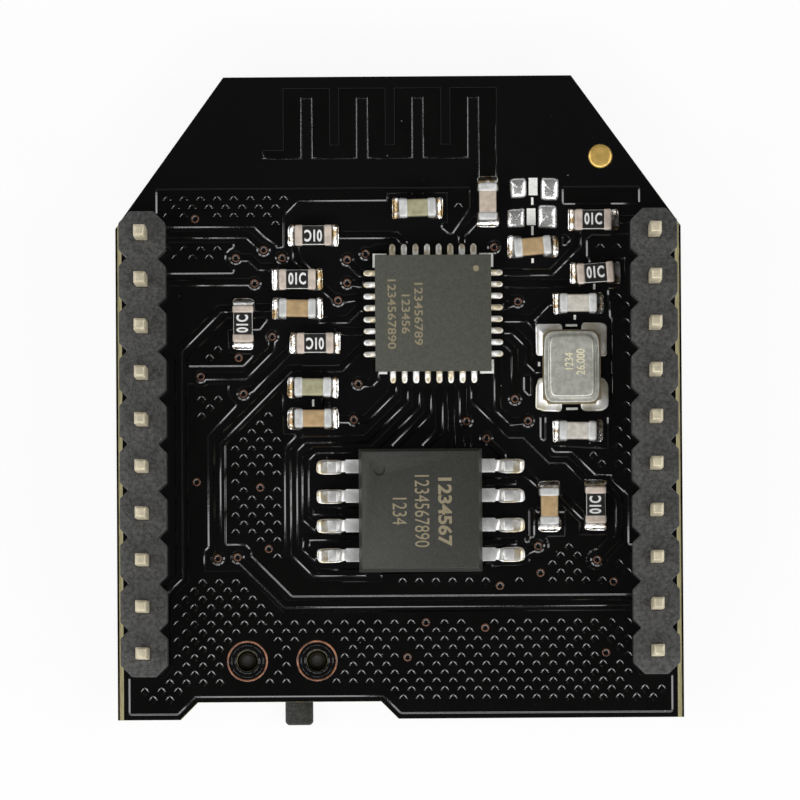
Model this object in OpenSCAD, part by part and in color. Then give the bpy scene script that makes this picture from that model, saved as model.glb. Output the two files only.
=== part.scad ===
// Wi-Fi radio module: a small circuit board that plugs in on two rows of 2 mm pitch pins.
// Millimetres. +X to the right-hand pin row, +Y towards the printed antenna, +Z out of the pin side.
// The origin is under the middle of the board, level with its lowest face, the slide switch's cover.

/* [Board] */
// Width of the board across the two pin rows
board_w = 24.4; // [23:0.1:27]
// Length of the board, from the notched edge to the antenna edge
board_l = 27.7; // [27.3:0.1:30]
// Thickness of the board
board_t = 1; // [0.8:0.1:1.6]
// Width of the antenna edge, between the two sloping corners
antenna_edge_w = 15; // [14:0.5:17]
// How far the sloping corners run down the long edges
corner_l = 6.5; // [5.5:0.25:6.5]
// Width of the bevel that scoring leaves along the long edges
score_w = 0.27; // [0.15:0.01:0.3]
// Depth of the scoring on each face
score_d = 0.3; // [0.2:0.05:0.35]
// Width of the notch in the switch's edge, at its mouth
notch_w = 9.4; // [9:0.1:10]
// Depth of that notch
notch_d = 0.75; // [0.5:0.05:1]
// Middle of that notch across the board
notch_x = -4.8; // [-5.2:0.1:-4.4]

/* [Pin headers] */
// Pins in each row
row_pins = 10; // [8:1:10]
// Distance from one pin to the next
pin_pitch = 2; // [1.9:0.05:2]
// Distance from each row to its long edge of the board
row_inset = 1.2; // [1.1:0.05:1.3]
// Distance from the last pin to the notched edge
pin_inset = 2.85; // [2.6:0.05:3.2]
// Side of the square pins
pin_size = 0.5; // [0.4:0.05:0.6]
// Length of a pin above its plastic strip
pin_rise = 4.05; // [2.5:0.05:6]
// Length of a pin's tail below the board
pin_tail = 0.9; // [0.8:0.05:1.2]
// Length of the bevel on each pin's ends
pin_tip = 0.15; // [0.05:0.05:0.2]
// Diameter of the plated holes that the pins pass through
pin_hole_d = 0.9; // [0.85:0.05:1]
// Width of the plastic strip
strip_w = 2; // [1.8:0.1:2.2]
// Height of the plastic strip
strip_h = 2; // [1.5:0.05:2.5]
// Depth of the V between two cells of the strip
cell_notch = 0.35; // [0.2:0.05:0.5]

/* [Wi-Fi chip] */
// Middle of the chip across the board
wifi_x = 1.5; // [1.3:0.05:1.7]
// Middle of the chip along the board
wifi_y = 3.6; // [3.4:0.05:3.7]
// Side of the chip
wifi_w = 5; // [4.8:0.1:5.2]
// Height of the chip
wifi_h = 0.85; // [0.7:0.05:1]
// Leads on each side
wifi_leads = 8; // [6:1:8]
// Distance from one lead to the next
wifi_pitch = 0.5; // [0.45:0.01:0.52]
// Width of a lead
wifi_lead_w = 0.26; // [0.18:0.02:0.28]
// Length of a lead under the chip
wifi_lead_l = 0.4; // [0.3:0.05:0.5]
// Distance that the solder reaches past a lead
wifi_toe = 0.52; // [0.4:0.02:0.6]
// Side of the ground pad under the chip
wifi_pad_w = 3.4; // [3:0.1:3.6]

/* [Memory chip] */
// Middle of the chip across the board
mem_x = 0.9; // [0.8:0.05:1]
// Middle of the chip along the board
mem_y = -4.9; // [-5:0.05:-4.8]
// Side of the chip's body
mem_w = 5.3; // [5.1:0.05:5.4]
// Height of the chip's body
mem_h = 1.8; // [1.6:0.05:2]
// Distance that the four sides lean in, above and below the leads
mem_lean = 0.14; // [0.05:0.01:0.2]
// Distance from one lead to the next
mem_pitch = 1.27; // [1.2:0.01:1.3]
// Distance across the chip from toe to toe
mem_span = 8; // [7.9:0.1:8.2]
// Width of a lead's foot
mem_lead_w = 0.48; // [0.35:0.01:0.5]
// Width of a lead's shoulder, where it leaves the body
mem_shoulder_w = 0.58; // [0.5:0.01:0.6]
// Thickness of a lead
mem_lead_t = 0.2; // [0.15:0.01:0.25]
// Distance that the solder reaches past a lead
mem_solder = 0.48; // [0.35:0.01:0.5]

/* [Crystal] */
// Middle of the crystal across the board
xtal_x = 7.45; // [7.4:0.05:7.5]
// Middle of the crystal along the board
xtal_y = 1.25; // [1.2:0.05:1.3]
// Width of its ceramic base
xtal_w = 2.5; // [2.3:0.05:2.5]
// Length of its ceramic base
xtal_l = 3.2; // [3:0.05:3.2]
// Height of its ceramic base
xtal_base_h = 0.5; // [0.4:0.05:0.7]
// Height of its steel lid
xtal_lid_h = 0.3; // [0.2:0.05:0.4]

/* [Chip capacitors and resistors] */
// Length of each one
chip_l = 1.6; // [1.5:0.05:1.65]
// Width of each one
chip_w = 0.82; // [0.75:0.01:0.85]
// Height of the capacitors
cap_h = 0.8; // [0.6:0.05:0.85]
// Height of the resistors
res_h = 0.45; // [0.35:0.05:0.6]
// Length of the metal cap on each end
end_l = 0.36; // [0.25:0.01:0.4]
// Thickness of that metal
end_t = 0.04; // [0.03:0.01:0.06]
// Thickness of a resistor's black top coat
coat_t = 0.03; // [0.02:0.01:0.04]

/* [Slide switch] */
// Middle of the switch across the board
switch_x = -5.1; // [-5.3:0.05:-4.9]
// Distance from the notch to the front of the switch
switch_inset = 0.47; // [0.3:0.01:0.6]
// Width of the switch
switch_w = 6.7; // [6.5:0.1:7]
// Depth of the switch, from front to back
switch_d = 2.6; // [2.5:0.05:2.8]
// Height of the switch below the board
switch_h = 1.4; // [1.3:0.05:1.8]
// Thickness of the steel cover
cover_t = 0.15; // [0.1:0.01:0.2]
// Distance from one locating peg to the other
peg_gap = 3; // [2.8:0.1:3.2]
// Diameter of the locating pegs
peg_d = 0.75; // [0.6:0.05:0.8]
// Length of the locating pegs
peg_l = 0.6; // [0.4:0.05:0.75]
// Diameter of the holes for the pegs
peg_hole_d = 0.9; // [0.85:0.05:1]
// Width of the block that slides inside the switch
block_w = 2.9; // [2.6:0.05:3]
// Depth of that block
block_d = 1.5; // [1.3:0.05:1.6]
// Height of that block
block_h = 0.35; // [0.25:0.05:0.45]
// Width of the lever
lever_w = 1.2; // [1:0.05:1.4]
// Height of the lever
lever_h = 0.6; // [0.5:0.05:0.65]
// Length of the bevel at the lever's free corners
lever_bevel = 0.12; // [0.05:0.01:0.2]
// Length of the lever outside the switch
lever_l = 1.47; // [1:0.01:2]
// Distance that the lever travels
travel = 1.4; // [1.2:0.05:1.5]
// Gap round the parts that slide
slide_gap = 0.05; // [0.03:0.01:0.06]
// Thickness of the sheet metal of the terminals and the contact
terminal_t = 0.12; // [0.1:0.01:0.14]

/* [Copper, solder and ink] */
// Thickness of copper and its lacquer on the board
copper_t = 0.045; // [0.03:0.005:0.05]
// Thickness of solder under a part
solder_t = 0.06; // [0.055:0.005:0.09]
// Distance that the solder reaches past a part's end
solder_reach = 0.3; // [0.25:0.01:0.4]
// Height of the solder on a small part's end
solder_h = 0.3; // [0.2:0.05:0.35]
// Thickness of the white ink
ink_t = 0.02; // [0.01:0.005:0.04]
// Width of the lines of white ink
ink_w = 0.1; // [0.08:0.01:0.14]
// Width of the copper tracks
track_w = 0.25; // [0.16:0.01:0.28]
// Diameter of the copper round a via
via_d = 0.52; // [0.44:0.02:0.6]
// Diameter of a via's hole
via_hole_d = 0.26; // [0.2:0.02:0.32]
// Distance from one antenna leg to the next
antenna_pitch = 1.2; // [1:0.05:1.25]
// Length of the antenna's open end
antenna_tail_l = 1.25; // [1:0.05:1.4]
// Width of that end
antenna_tail_w = 0.28; // [0.2:0.02:0.4]
// Width of an antenna leg
antenna_leg_w = 0.7; // [0.5:0.05:0.75]
// Length of an antenna leg
antenna_leg_l = 2.95; // [2.5:0.05:3.1]
// Width of the bars that join the legs along the edge of the board
antenna_top_bar = 0.35; // [0.3:0.05:0.5]
// Width of the bars that join the legs on the other side
antenna_low_bar = 0.5; // [0.3:0.05:0.6]
// Distance from the antenna to the edge of the board
antenna_inset = 0.55; // [0.4:0.05:0.8]

/* [Hidden] */
z_back = switch_h;
z_face = z_back + board_t;
strip_z = z_face + copper_t;
z_pins = strip_z + strip_h;
edge_y = -board_l / 2;
notch_y = edge_y + notch_d;
row_x = board_w / 2 - row_inset;
last_pin_y = edge_y + pin_inset;
strip_l = row_pins * pin_pitch;
row_mid_y = last_pin_y + (row_pins - 1) * pin_pitch / 2;
wifi_z = z_face + solder_t;
mem_z = z_face + solder_t;
xtal_z = z_face + solder_t;
small_z = z_face + solder_t;
switch_y = notch_y + switch_inset + switch_d / 2;
// Gap between the ground copper and every other conductor.
pour_gap = 0.2;
// Gap between the ground copper and the edge of the board's flat face.
pour_inset = 0.25;
// A step just large enough to close slivers between outlines that only touch.
nib = 0.01;
// How far a cut runs past the solid that it goes through.
past = 1;

// The layout's places are drawn for a board of this width and length, and stretch with it.
DRAWN_ON = [24.4, 27.7];
function place(at) = [at[0] * board_w / DRAWN_ON[0], at[1] * board_l / DRAWN_ON[1]];
function places(path) = [for (at = path) place(at)];
wifi_at = place([wifi_x, wifi_y]);
mem_at = place([mem_x, mem_y]);
xtal_at = place([xtal_x, xtal_y]);

// Middle of each chip capacitor, its turn and how far it sits askew on its pads.
CAPACITORS = [
    [0.85, 8.15, 0, 1.5],
    [3.88, 8.4, 90, 0],
    [5.8, 6.45, 0, 5],
    [7.75, 4, 0, 0],
    [7.7, -1.5, 0, -1],
    [6.45, -4.75, 90, 0],
    [-4.35, 3.85, 0, -1],
    [-3.7, 0.45, 0, -1],
    [-3.7, -0.9, 0, 0],
];
CAPACITOR_COLOURS = [
    [0.62, 0.58, 0.46],
    [0.78, 0.75, 0.7],
    [0.66, 0.56, 0.42],
    [0.8, 0.79, 0.75],
    [0.8, 0.79, 0.75],
    [0.68, 0.54, 0.38],
    [0.72, 0.64, 0.5],
    [0.66, 0.65, 0.55],
    [0.7, 0.55, 0.38],
];
RESISTORS = [
    [-3.65, 7, 0, 0],
    [-4.35, 5.1, 0, 0],
    [-6.7, 3.2, 90, 0],
    [-3.6, 2.35, 0, 0],
    [8.42, 7.6, 0, 0],
    [8.5, 5.3, 0, 4],
    [8.45, -4.7, 90, 0],
];
// Bare solder pads, left without a part: middle, width and length.
BARE_PADS = [
    [5.2, 9, 0.72, 0.85],
    [6.55, 8.95, 0.75, 1],
    [5.1, 7.7, 0.75, 0.85],
    [6.45, 7.75, 0.8, 1.05],
];
FIDUCIAL = [8.75, 10.35];
fiducial_d = 1.05;

// Tracks from pad to pad, as routed on the board.
TRACKS = [
    // From the left-hand pin row
    [[-10.2, 7.05], [-6.5, 7.05], [-5.8, 6.4]],
    [[-10.2, 5], [-6.2, 5]],
    [[-7, 6.05], [-6.4, 6.05], [-6, 5.65], [-5.2, 5.65]],
    [[-10.3, -8.45], [-9.5, -7.7], [-9.5, 2.05], [-7.7, 3.85], [-7, 3.85]],
    [[-6.4, 3.9], [-5, 3.9]],
    [[-5.45, 2.6], [-5.5, 2.1], [-6.65, 0.95], [-8.55, 0.95]],
    [[-6.7, 0.25], [-6.35, 0.4], [-4.7, 2.05]],
    [[-7.85, -6.9], [-7.85, -1.9], [-4.7, 1.25], [-2.5, 1.25], [-1.4, 2.35]],
    [[-7, -6.85], [-4.95, -8.9], [10.3, -8.9]],
    // Between the Wi-Fi chip and the parts on its left
    [[-4.4, 6.6], [-4.4, 6], [-3.9, 5.5]],
    [[-3.3, 4.8], [-2.65, 4.2], [-1.4, 4.35]],
    [[-2.2, 5.95], [-1.65, 5.35], [-1.2, 5.35]],
    [[-2.2, 4.95], [-1.2, 4.85]],
    [[-3.4, 3.35], [-2.2, 3.35], [-1.7, 3.85], [-1.2, 3.85]],
    [[-2.7, 2.85], [-1.2, 2.85]],
    [[-1, 1.6], [-1, 0.8], [-1.2, 0.6], [-1.75, 0.6]],
    [[-1.4, 6.2], [-0.9, 6.45], [-0.3, 6.45]],
    [[-2.8, 7], [-0.05, 7], [0.25, 6.7], [0.25, 6.4]],
    // From the Wi-Fi chip down to the memory chip
    [[-0.25, 0.6], [-0.25, 0.25], [-1.45, -0.95], [-2.6, -0.95]],
    [[0.25, 0.6], [0.25, -0.15], [-1.45, -1.8], [-4.1, -1.8], [-4.55, -2.25], [-4.55, -6.7],
        [-3.7, -7.55], [-1.5, -7.55]],
    [[0.75, 0.6], [0.75, -0.4], [-1.1, -2.25], [-3.65, -2.25], [-4.05, -2.65], [-4.05, -5.2],
        [-3.6, -5.6]],
    [[1.25, 0.6], [1.25, -0.7], [-0.2, -2.15]],
    [[1.75, 0.6], [1.75, -1.5], [1.1, -2.15]],
    [[2.25, 0.6], [2.25, -2.4]],
    [[2.75, 0.6], [2.75, -0.9], [2.9, -1.05]],
    [[3.25, 0.6], [3.25, -0.15], [4.75, -1.65], [5.4, -1.65], [6.5, -2.75], [7.2, -2.75],
        [8.2, -3.75]],
    [[2.95, -1.75], [2.95, -2.4]],
    [[3.75, -1.8], [4.45, -2.5], [4.45, -2.9]],
    [[-1.8, -6], [-4, -6], [-4.05, -6.5], [-3.6, -6.9]],
    [[-3.7, -4.9], [-1.8, -4.9]],
    [[-3.15, 0.1], [-3.15, -0.6]],
    // Between the Wi-Fi chip and the parts on its right
    [[7.75, 7.3], [7.75, 6.5], [6.6, 5.35], [4.4, 5.35]],
    [[4.4, 4.85], [7.8, 4.85]],
    [[4.4, 4.35], [5.15, 4.1]],
    [[4.4, 3.85], [5.15, 4.1]],
    [[4.4, 3.35], [5.75, 3.35], [6.45, 4.05], [6.9, 4.05]],
    [[5.6, 3.35], [5.95, 3], [6.2, 2.75]],
    [[4.4, 2.85], [4.95, 2.85], [5.6, 2.2], [5.6, 1.5], [5.95, 1.15], [6.2, 1.15]],
    [[4.4, 2.35], [4.65, 2.3], [5, 1.95], [5, -0.1]],
    [[4.25, 1.75], [4.25, -0.5], [4.85, -1.1], [5.55, -1.05]],
    [[2.75, 6.4], [2.75, 6.95], [3.35, 7.6], [3.8, 7.6]],
    [[9.2, 7.6], [10.2, 7.6]],
    // Round the parts below the crystal
    [[8.7, -3.75], [9.45, -4.45], [9.45, -6.1], [8.5, -7.05]],
    [[5.2, -3.05], [5.9, -3.7], [6.3, -4]],
    [[3.4, -3.65], [5, -3.65]],
    [[7, -4.25], [7.9, -5.15], [8.3, -5.3]],
    [[5.95, -6.45], [5.2, -6.8]],
    [[5, -6.25], [3.4, -6.25]],
];
// Where a track goes through the board.
VIAS = [
    [-5.8, 6.4], [-7, 6.05], [-6.2, 4.95], [-5, 6.05], [-5.45, 2.65], [-8.55, 0.95], [-6.7, 0.2],
    [-7.85, -6.9], [-7, -6.85], [-1.4, 6.2], [-2.2, 5.95], [-2.2, 4.95], [-2.6, 4.2],
    [-1.95, -0.95], [-1.75, 0.6], [2.9, -1.05], [3.75, -1.8], [5, -0.1], [5.55, -1.05],
    [5.15, 4.1], [5.95, -6.45], [8.5, -7.05], [4.15, 6.45],
];
// Corners of the ground copper, before the gaps round tracks, pads and edges are taken away.
POUR_EDGES = [
    // Along the antenna's side of the board, down to the via between two resistors
    [[-10.4, 9], [3.1, 9], [3.1, 8.15], [2.35, 7.05], [2.2, 7.05], [1.9, 7.3], [1.9, 8.75],
        [-0.45, 8.75], [-0.45, 8.5], [-4.3, 8.5], [-4.95, 7.85], [-4.95, 5.85], [-5.25, 5.85],
        [-5.25, 6.6], [-5.75, 6.95], [-6.2, 7.4], [-10.4, 7.4]],
    [[7, 9], [10.4, 9], [10.4, 8.3], [7.2, 8.3], [7.2, 7], [7.45, 6.75], [6.5, 5.8], [6.1, 5.8],
        [6.95, 7]],
    // Beside the left-hand pin row
    [[-10.3, 6.75], [-7.1, 6.75], [-7.1, 5.4], [-10.3, 5.4]],
    [[-9.1, 1.4], [-9.1, 1.75], [-7.4, 3.45], [-5.6, 3.45], [-5.95, 3], [-5.95, 2.15], [-6.7, 1.4]],
    // Round the switch's end of the board
    [[-9.15, 0.6], [-7.35, 0.6], [-7.35, 0.05], [-7, -0.3], [-8.25, -1.6], [-8.25, -6.4],
        [-8.45, -6.6], [-8.45, -7.5], [-6.8, -7.5], [-5.05, -9.25], [10.3, -9.25], [10.3, -12],
        [12.2, -12], [12.2, -13.8], [-12.2, -13.8], [-12.2, -12], [-10.2, -12], [-9.9, -11.7],
        [-9.9, -8.6], [-9.15, -7.85]],
    // Inside the loop of tracks on the memory chip's left, and below the chip
    [[-7.5, -6.3], [-7.5, -2], [-5.2, 0.3], [-5, 0.1], [-5, -1.45], [-4.3, -1.5], [-4.95, -2.15],
        [-4.95, -6.85], [-3.95, -7.95], [-0.8, -7.95], [-0.8, -7.6], [3.6, -7.6], [3.6, -7.2],
        [5.4, -7.2], [5.4, -4.9], [7, -4.7], [7.75, -5.45], [7.75, -5.95], [9, -5.95],
        [10.3, -7], [10.3, -8.55], [-4.65, -8.55], [-6.4, -6.8], [-6.4, -6.55], [-6.65, -6.3]],
    // Beside the right-hand pin row
    [[5.4, 0.9], [5.4, 0.25], [5.6, 0.05], [5.6, -0.55], [6.1, -0.85], [6.1, -1.8], [6.7, -2.4],
        [7.45, -2.4], [8.45, -3.4], [9.1, -3.4], [9.2, -3.65], [9.85, -4.3], [9.85, -6.4],
        [10.3, -6.4], [10.3, 6.95], [8.35, 6.95], [8.15, 6.75], [8.15, 6], [9.1, 4], [9.15, 3],
        [9.15, -0.8], [9, -0.9], [9, -2.3], [6.3, -2.1], [6.3, -0.7], [6, -0.6], [6, 0.9]],
];
// Ground vias, which the ground copper surrounds with no gap.
GROUND_VIAS = [
    [-8.75, 7.75], [-6.9, 1.75], [-8.75, -3.6], [-6, -3.85], [-5.65, -6.5], [0.3, -11.2],
    [1.1, -9.7], [3.65, -9.95], [4.3, -8.15], [6.05, -7.6], [8.85, -11.05], [9.2, -8],
];

// ---- Outlines ----

function unit(v) = v / norm(v);
function left_of(v) = [-v[1], v[0]];

// The point at distance d to the left of a path's corner i, mitred.
function mitre(path, i, d) =
    let (last = len(path) - 1,
        before = unit(path[max(i, 1)] - path[max(i, 1) - 1]),
        after = unit(path[min(i, last - 1) + 1] - path[min(i, last - 1)]),
        across = left_of(before) + left_of(after))
    path[i] + across * 2 * d / (across * across);

// Outline of a strip of constant width whose middle follows a path.
function strip(path, w) =
    concat([for (i = [0:len(path) - 1]) mitre(path, i, w / 2)],
        [for (i = [len(path) - 1:-1:0]) mitre(path, i, -w / 2)]);

// A path with its inner corners bent to a radius, each in a few short steps.
function bent(path, r, steps = 4) = [
    for (i = [0:len(path) - 1])
        if (i == 0 || i == len(path) - 1) path[i]
        else
            let (before = unit(path[i] - path[i - 1]),
                after = unit(path[i + 1] - path[i]),
                turn = atan2(before[0] * after[1] - before[1] * after[0], before * after),
                side = sign(turn),
                start = path[i] - before * r * tan(abs(turn) / 2),
                centre = start + left_of(before) * side * r)
            for (k = [0:steps])
                let (a = turn * k / steps, arm = start - centre)
                centre + [arm[0] * cos(a) - arm[1] * sin(a), arm[0] * sin(a) + arm[1] * cos(a)]
];

// A rectangle about the origin with round corners.
function round_box(w, l, r, steps = 4) = [
    for (corner = [[1, 1, 0], [-1, 1, 90], [-1, -1, 180], [1, -1, 270]])
        for (k = [0:steps])
            let (a = corner[2] + 90 * k / steps)
            [corner[0] * (w / 2 - r) + r * cos(a), corner[1] * (l / 2 - r) + r * sin(a)]
];

// Half profile of a solder fillet that climbs from the board to h over a run.
function fillet(run, h, steps = 4) = [
    for (k = [0:steps])
        let (a = 90 * k / steps)
        [run * sin(a), solder_t / 2 + (h - solder_t / 2) * (1 - cos(a))]
];

// Side view of a mound of solder of width w.
function mound_side(w, run, h) = concat(
    [[w / 2, 0]],
    [for (p = fillet(run, h)) [w / 2 - p[0], p[1]]],
    [for (i = [len(fillet(run, h)) - 1:-1:0])
        let (p = fillet(run, h)[i]) [p[0] - w / 2, p[1]]],
    [[-w / 2, 0]]);

// ---- Shared solids ----

// A shape drawn in X and Z, pushed along Y about the origin.
module along_y(l) {
    rotate([90, 0, 0]) linear_extrude(l, center = true) children();
}

// A shape drawn in Y and Z, pushed along X about the origin.
module along_x(l) {
    rotate([90, 0, 90]) linear_extrude(l, center = true) children();
}

// A mound of solder on a pad of w by l, its skirts climbing to h.
module mound(w, l, h, run_x, run_y) {
    intersection() {
        along_y(l) polygon(mound_side(w, run_x, h));
        along_x(w) polygon(mound_side(l, run_y, h));
    }
}

// Solder at a small part's end: flat towards -X, where the part sits on it, and sloping at +X.
module end_solder(w, l, h, run) {
    side_run = 0.06;
    intersection() {
        along_y(l) polygon(concat([[-w / 2, 0], [w / 2, 0]],
            [for (p = fillet(run, h)) [w / 2 - p[0], p[1]]], [[-w / 2, h]]));
        along_x(w) polygon(mound_side(l, side_run, h));
    }
}

// A part on the board's face: its middle, its turn and its skew.
module placed(at, z = 0, skew = true) {
    translate([each place(at), z]) rotate(at[2] + (skew ? at[3] : 0)) children();
}

// Centres of the leads along one side of the Wi-Fi chip.
function lead_places(count, pitch) = [for (i = [0:count - 1]) (i - (count - 1) / 2) * pitch];

// The four sides of the Wi-Fi chip, each seen with the chip's edge towards -Y.
module wifi_sides() {
    translate(wifi_at)
        for (side = [0:3]) rotate(90 * side)
            for (x = lead_places(wifi_leads, wifi_pitch)) translate([x, -wifi_w / 2, 0]) children();
}

// The eight leads of the memory chip, each seen with the chip's edge towards -X.
module mem_sides() {
    translate(mem_at)
        for (side = [0, 1]) rotate(180 * side)
            for (y = lead_places(4, mem_pitch)) translate([-mem_w / 2, y, 0]) children();
}

// ---- Board ----

module board_outline() {
    half = board_w / 2;
    polygon([
        [-half, edge_y], [notch_x - notch_w / 2, edge_y],
        [notch_x - notch_w / 2 + notch_d, notch_y], [notch_x + notch_w / 2 - notch_d, notch_y],
        [notch_x + notch_w / 2, edge_y], [half, edge_y], [half, board_l / 2 - corner_l],
        [antenna_edge_w / 2, board_l / 2], [-antenna_edge_w / 2, board_l / 2],
        [-half, board_l / 2 - corner_l],
    ]);
}

// Cross-section of the board: both long edges are scored and snapped.
module scored_section() {
    half = board_w / 2;
    lip = half - score_w / 3;
    right = [[half - score_w, 0], [lip, score_d], [half, score_d], [half, board_t - score_d],
        [lip, board_t - score_d], [half - score_w, board_t]];
    polygon(concat(right, [for (i = [len(right) - 1:-1:0]) [-right[i][0], right[i][1]]]));
}

module pin_places(side) {
    for (i = [0:row_pins - 1]) translate([side * row_x, last_pin_y + i * pin_pitch, 0]) children();
}

module peg_places() {
    for (side = [-1, 1]) translate([switch_x + side * peg_gap / 2, switch_y, 0]) children();
}

module circuit_board() {
    color([0.03, 0.03, 0.03]) translate([0, 0, z_back]) difference() {
        intersection() {
            linear_extrude(board_t) board_outline();
            along_y(2 * board_l) scored_section();
        }
        for (side = [-1, 1]) pin_places(side)
            translate([0, 0, -past]) cylinder(h = board_t + 2 * past, d = pin_hole_d, $fn = 32);
        peg_places()
            translate([0, 0, -past]) cylinder(h = board_t + 2 * past, d = peg_hole_d, $fn = 32);
    }
}

// ---- Copper and ink ----

small_pad_l = end_l + solder_reach;
small_pad_w = chip_w + 0.12;
small_pad_x = chip_l / 2 - end_l + small_pad_l / 2;
mem_toe = (mem_span - mem_w) / 2;
mem_foot_l = 0.5;
mem_pad_l = mem_foot_l + mem_solder + 0.22;
mem_pad_w = mem_lead_w + 0.14;
xtal_pad_w = 1.15;
xtal_pad_l = 1.4;
xtal_pad_reach = 0.3;

// The two pads of a small part, each with its inner end towards -X.
module small_pads(at) {
    placed(at, skew = false)
        for (side = [0, 180]) rotate(side) translate([small_pad_x, 0, 0]) children();
}

module xtal_pads() {
    translate(xtal_at) for (sx = [-1, 1], sy = [-1, 1])
        translate([sx * (xtal_w / 2 + xtal_pad_reach - xtal_pad_w / 2),
            sy * (xtal_l / 2 + xtal_pad_reach - xtal_pad_l / 2), 0]) children();
}

// Every place that solder or a bare pad covers.
module pads(grow = 0) {
    for (at = concat(CAPACITORS, RESISTORS))
        small_pads(at) square([small_pad_l + 2 * grow, small_pad_w + 2 * grow], center = true);
    wifi_sides() translate([-wifi_lead_w / 2 - grow, -wifi_toe - grow])
        square([wifi_lead_w + 2 * grow, wifi_toe + wifi_lead_l + 2 * grow]);
    mem_sides() translate([-mem_toe - mem_solder - grow, -mem_pad_w / 2 - grow])
        square([mem_pad_l + 2 * grow, mem_pad_w + 2 * grow]);
    xtal_pads() square([xtal_pad_w + 2 * grow, xtal_pad_l + 2 * grow], center = true);
    for (at = BARE_PADS)
        translate(place(at)) square([at[2] + 2 * grow, at[3] + 2 * grow], center = true);
    translate(wifi_at) square(wifi_pad_w, center = true);
    translate(place(FIDUCIAL)) circle(d = fiducial_d + 2 * grow, $fn = 48);
}

module track_shapes(grow = 0) {
    for (path = TRACKS) polygon(strip(places(path), track_w + 2 * grow));
    round_vias(VIAS, via_d + 2 * grow);
}

module round_vias(list, d) {
    for (at = places(list)) translate(at) circle(d = d, $fn = 20);
}

module signal_tracks() {
    color([0.1, 0.1, 0.1]) translate([0, 0, z_face]) linear_extrude(copper_t)
        offset(delta = -nib) offset(delta = nib) difference() {
            track_shapes();
            pads();
            round_vias(VIAS, via_hole_d);
            for (side = [-1, 1]) pin_places(side) circle(d = pin_hole_d + 0.1, $fn = 32);
        }
}

// Where the ground copper may lie: clear of the edges and of the scored bevels.
module pour_limit() {
    intersection() {
        offset(delta = -pour_inset) board_outline();
        square([board_w - 2 * (score_w + pour_inset), 2 * board_l], center = true);
    }
}

// Ground copper fills what the tracks and pads leave, with a gap round each of them.
module ground_copper() {
    corner_r = 0.08;
    color([0.07, 0.07, 0.07]) translate([0, 0, z_face]) linear_extrude(copper_t) difference() {
        offset(r = corner_r, $fn = 16) offset(delta = -corner_r) difference() {
            intersection() {
                union() for (edge = POUR_EDGES) polygon(places(edge));
                pour_limit();
            }
            track_shapes(pour_gap);
            pads(pour_gap);
            peg_places() circle(d = peg_hole_d + 0.8, $fn = 40);
            for (side = [-1, 1]) pin_places(side) circle(d = pin_hole_d + 0.9, $fn = 32);
        }
        round_vias(GROUND_VIAS, via_hole_d);
    }
}

// The printed aerial: legs joined at alternate ends, from an open end on the left to its feed.
module antenna_trace() {
    legs = 8;
    feed = place(CAPACITORS[1]);
    feed_y = feed[1] + chip_l / 2 + solder_reach - nib;
    top_y = board_l / 2 - antenna_inset;
    low_y = top_y - antenna_leg_l;
    leg_x = [for (i = [0:legs - 1]) feed[0] + (i + 1 - legs) * antenna_pitch];
    color([0.1, 0.1, 0.1]) translate([0, 0, z_face]) linear_extrude(copper_t) difference() {
        union() {
            for (i = [0:legs - 1]) translate([leg_x[i] - antenna_leg_w / 2, low_y])
                square([antenna_leg_w, antenna_leg_l]);
            for (i = [0:2:legs - 2]) translate([leg_x[i], top_y - antenna_top_bar])
                square([antenna_pitch, antenna_top_bar]);
            for (i = [1:2:legs - 3]) translate([leg_x[i], low_y])
                square([antenna_pitch, antenna_low_bar]);
            translate([leg_x[0] - antenna_tail_l, low_y]) square([antenna_tail_l, antenna_tail_w]);
            translate([leg_x[legs - 1] - antenna_leg_w / 2, feed_y])
                square([antenna_leg_w, low_y - feed_y + nib]);
        }
        pads();
    }
}

// White ink: corners round the Wi-Fi chip, dashes between the crystal's pads, blocks and bars.
module silk_marks() {
    bars = [[5.8, 8.42, ink_w, 0.32], [5.8, 7.15, ink_w, 0.4], [5.8, 5.85, ink_w, 0.2],
        [8.45, 5.82, ink_w, 0.2], [8.45, 4.72, ink_w, 0.25], [7.6, 3.4, ink_w, 0.2],
        [-3.7, -0.22, ink_w, 0.3], [5.84, 9.05, 0.38, 0.75], [5.75, 7.75, 0.38, 0.72]];
    xtal_bars = [[0, xtal_l / 2 + 0.2, 0.5, ink_w], [0, -xtal_l / 2 - 0.2, 0.5, ink_w],
        [-xtal_w / 2 - 0.15, 0, ink_w, 0.45]];
    arm_l = 0.6;
    color([0.92, 0.92, 0.9]) translate([0, 0, z_face]) linear_extrude(ink_t)
        offset(delta = -nib) offset(delta = nib) difference() {
            union() {
                for (b = bars) translate(place(b)) square([b[2], b[3]], center = true);
                for (b = xtal_bars) translate(xtal_at + [b[0], b[1]])
                    square([b[2], b[3]], center = true);
                translate(wifi_at) for (side = [0:3]) rotate(90 * side)
                    translate([1, 1] * (wifi_w / 2 + ink_w)) {
                        translate([-arm_l, -ink_w]) square([arm_l, ink_w]);
                        translate([-ink_w, -arm_l]) square([ink_w, arm_l]);
                    }
            }
            pads(0.05);
            track_shapes(0.02);
            for (edge = POUR_EDGES) polygon(places(edge));
        }
}

module fiducial() {
    color([0.85, 0.65, 0.25]) translate([each place(FIDUCIAL), z_face])
        cylinder(h = copper_t, d = fiducial_d, $fn = 48);
}

module bare_pads() {
    color([0.85, 0.86, 0.86]) for (at = BARE_PADS)
        translate([each place(at), z_face]) mound(at[2], at[3], 0.14, 0.25, 0.25);
}

// ---- Pin headers ----

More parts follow.
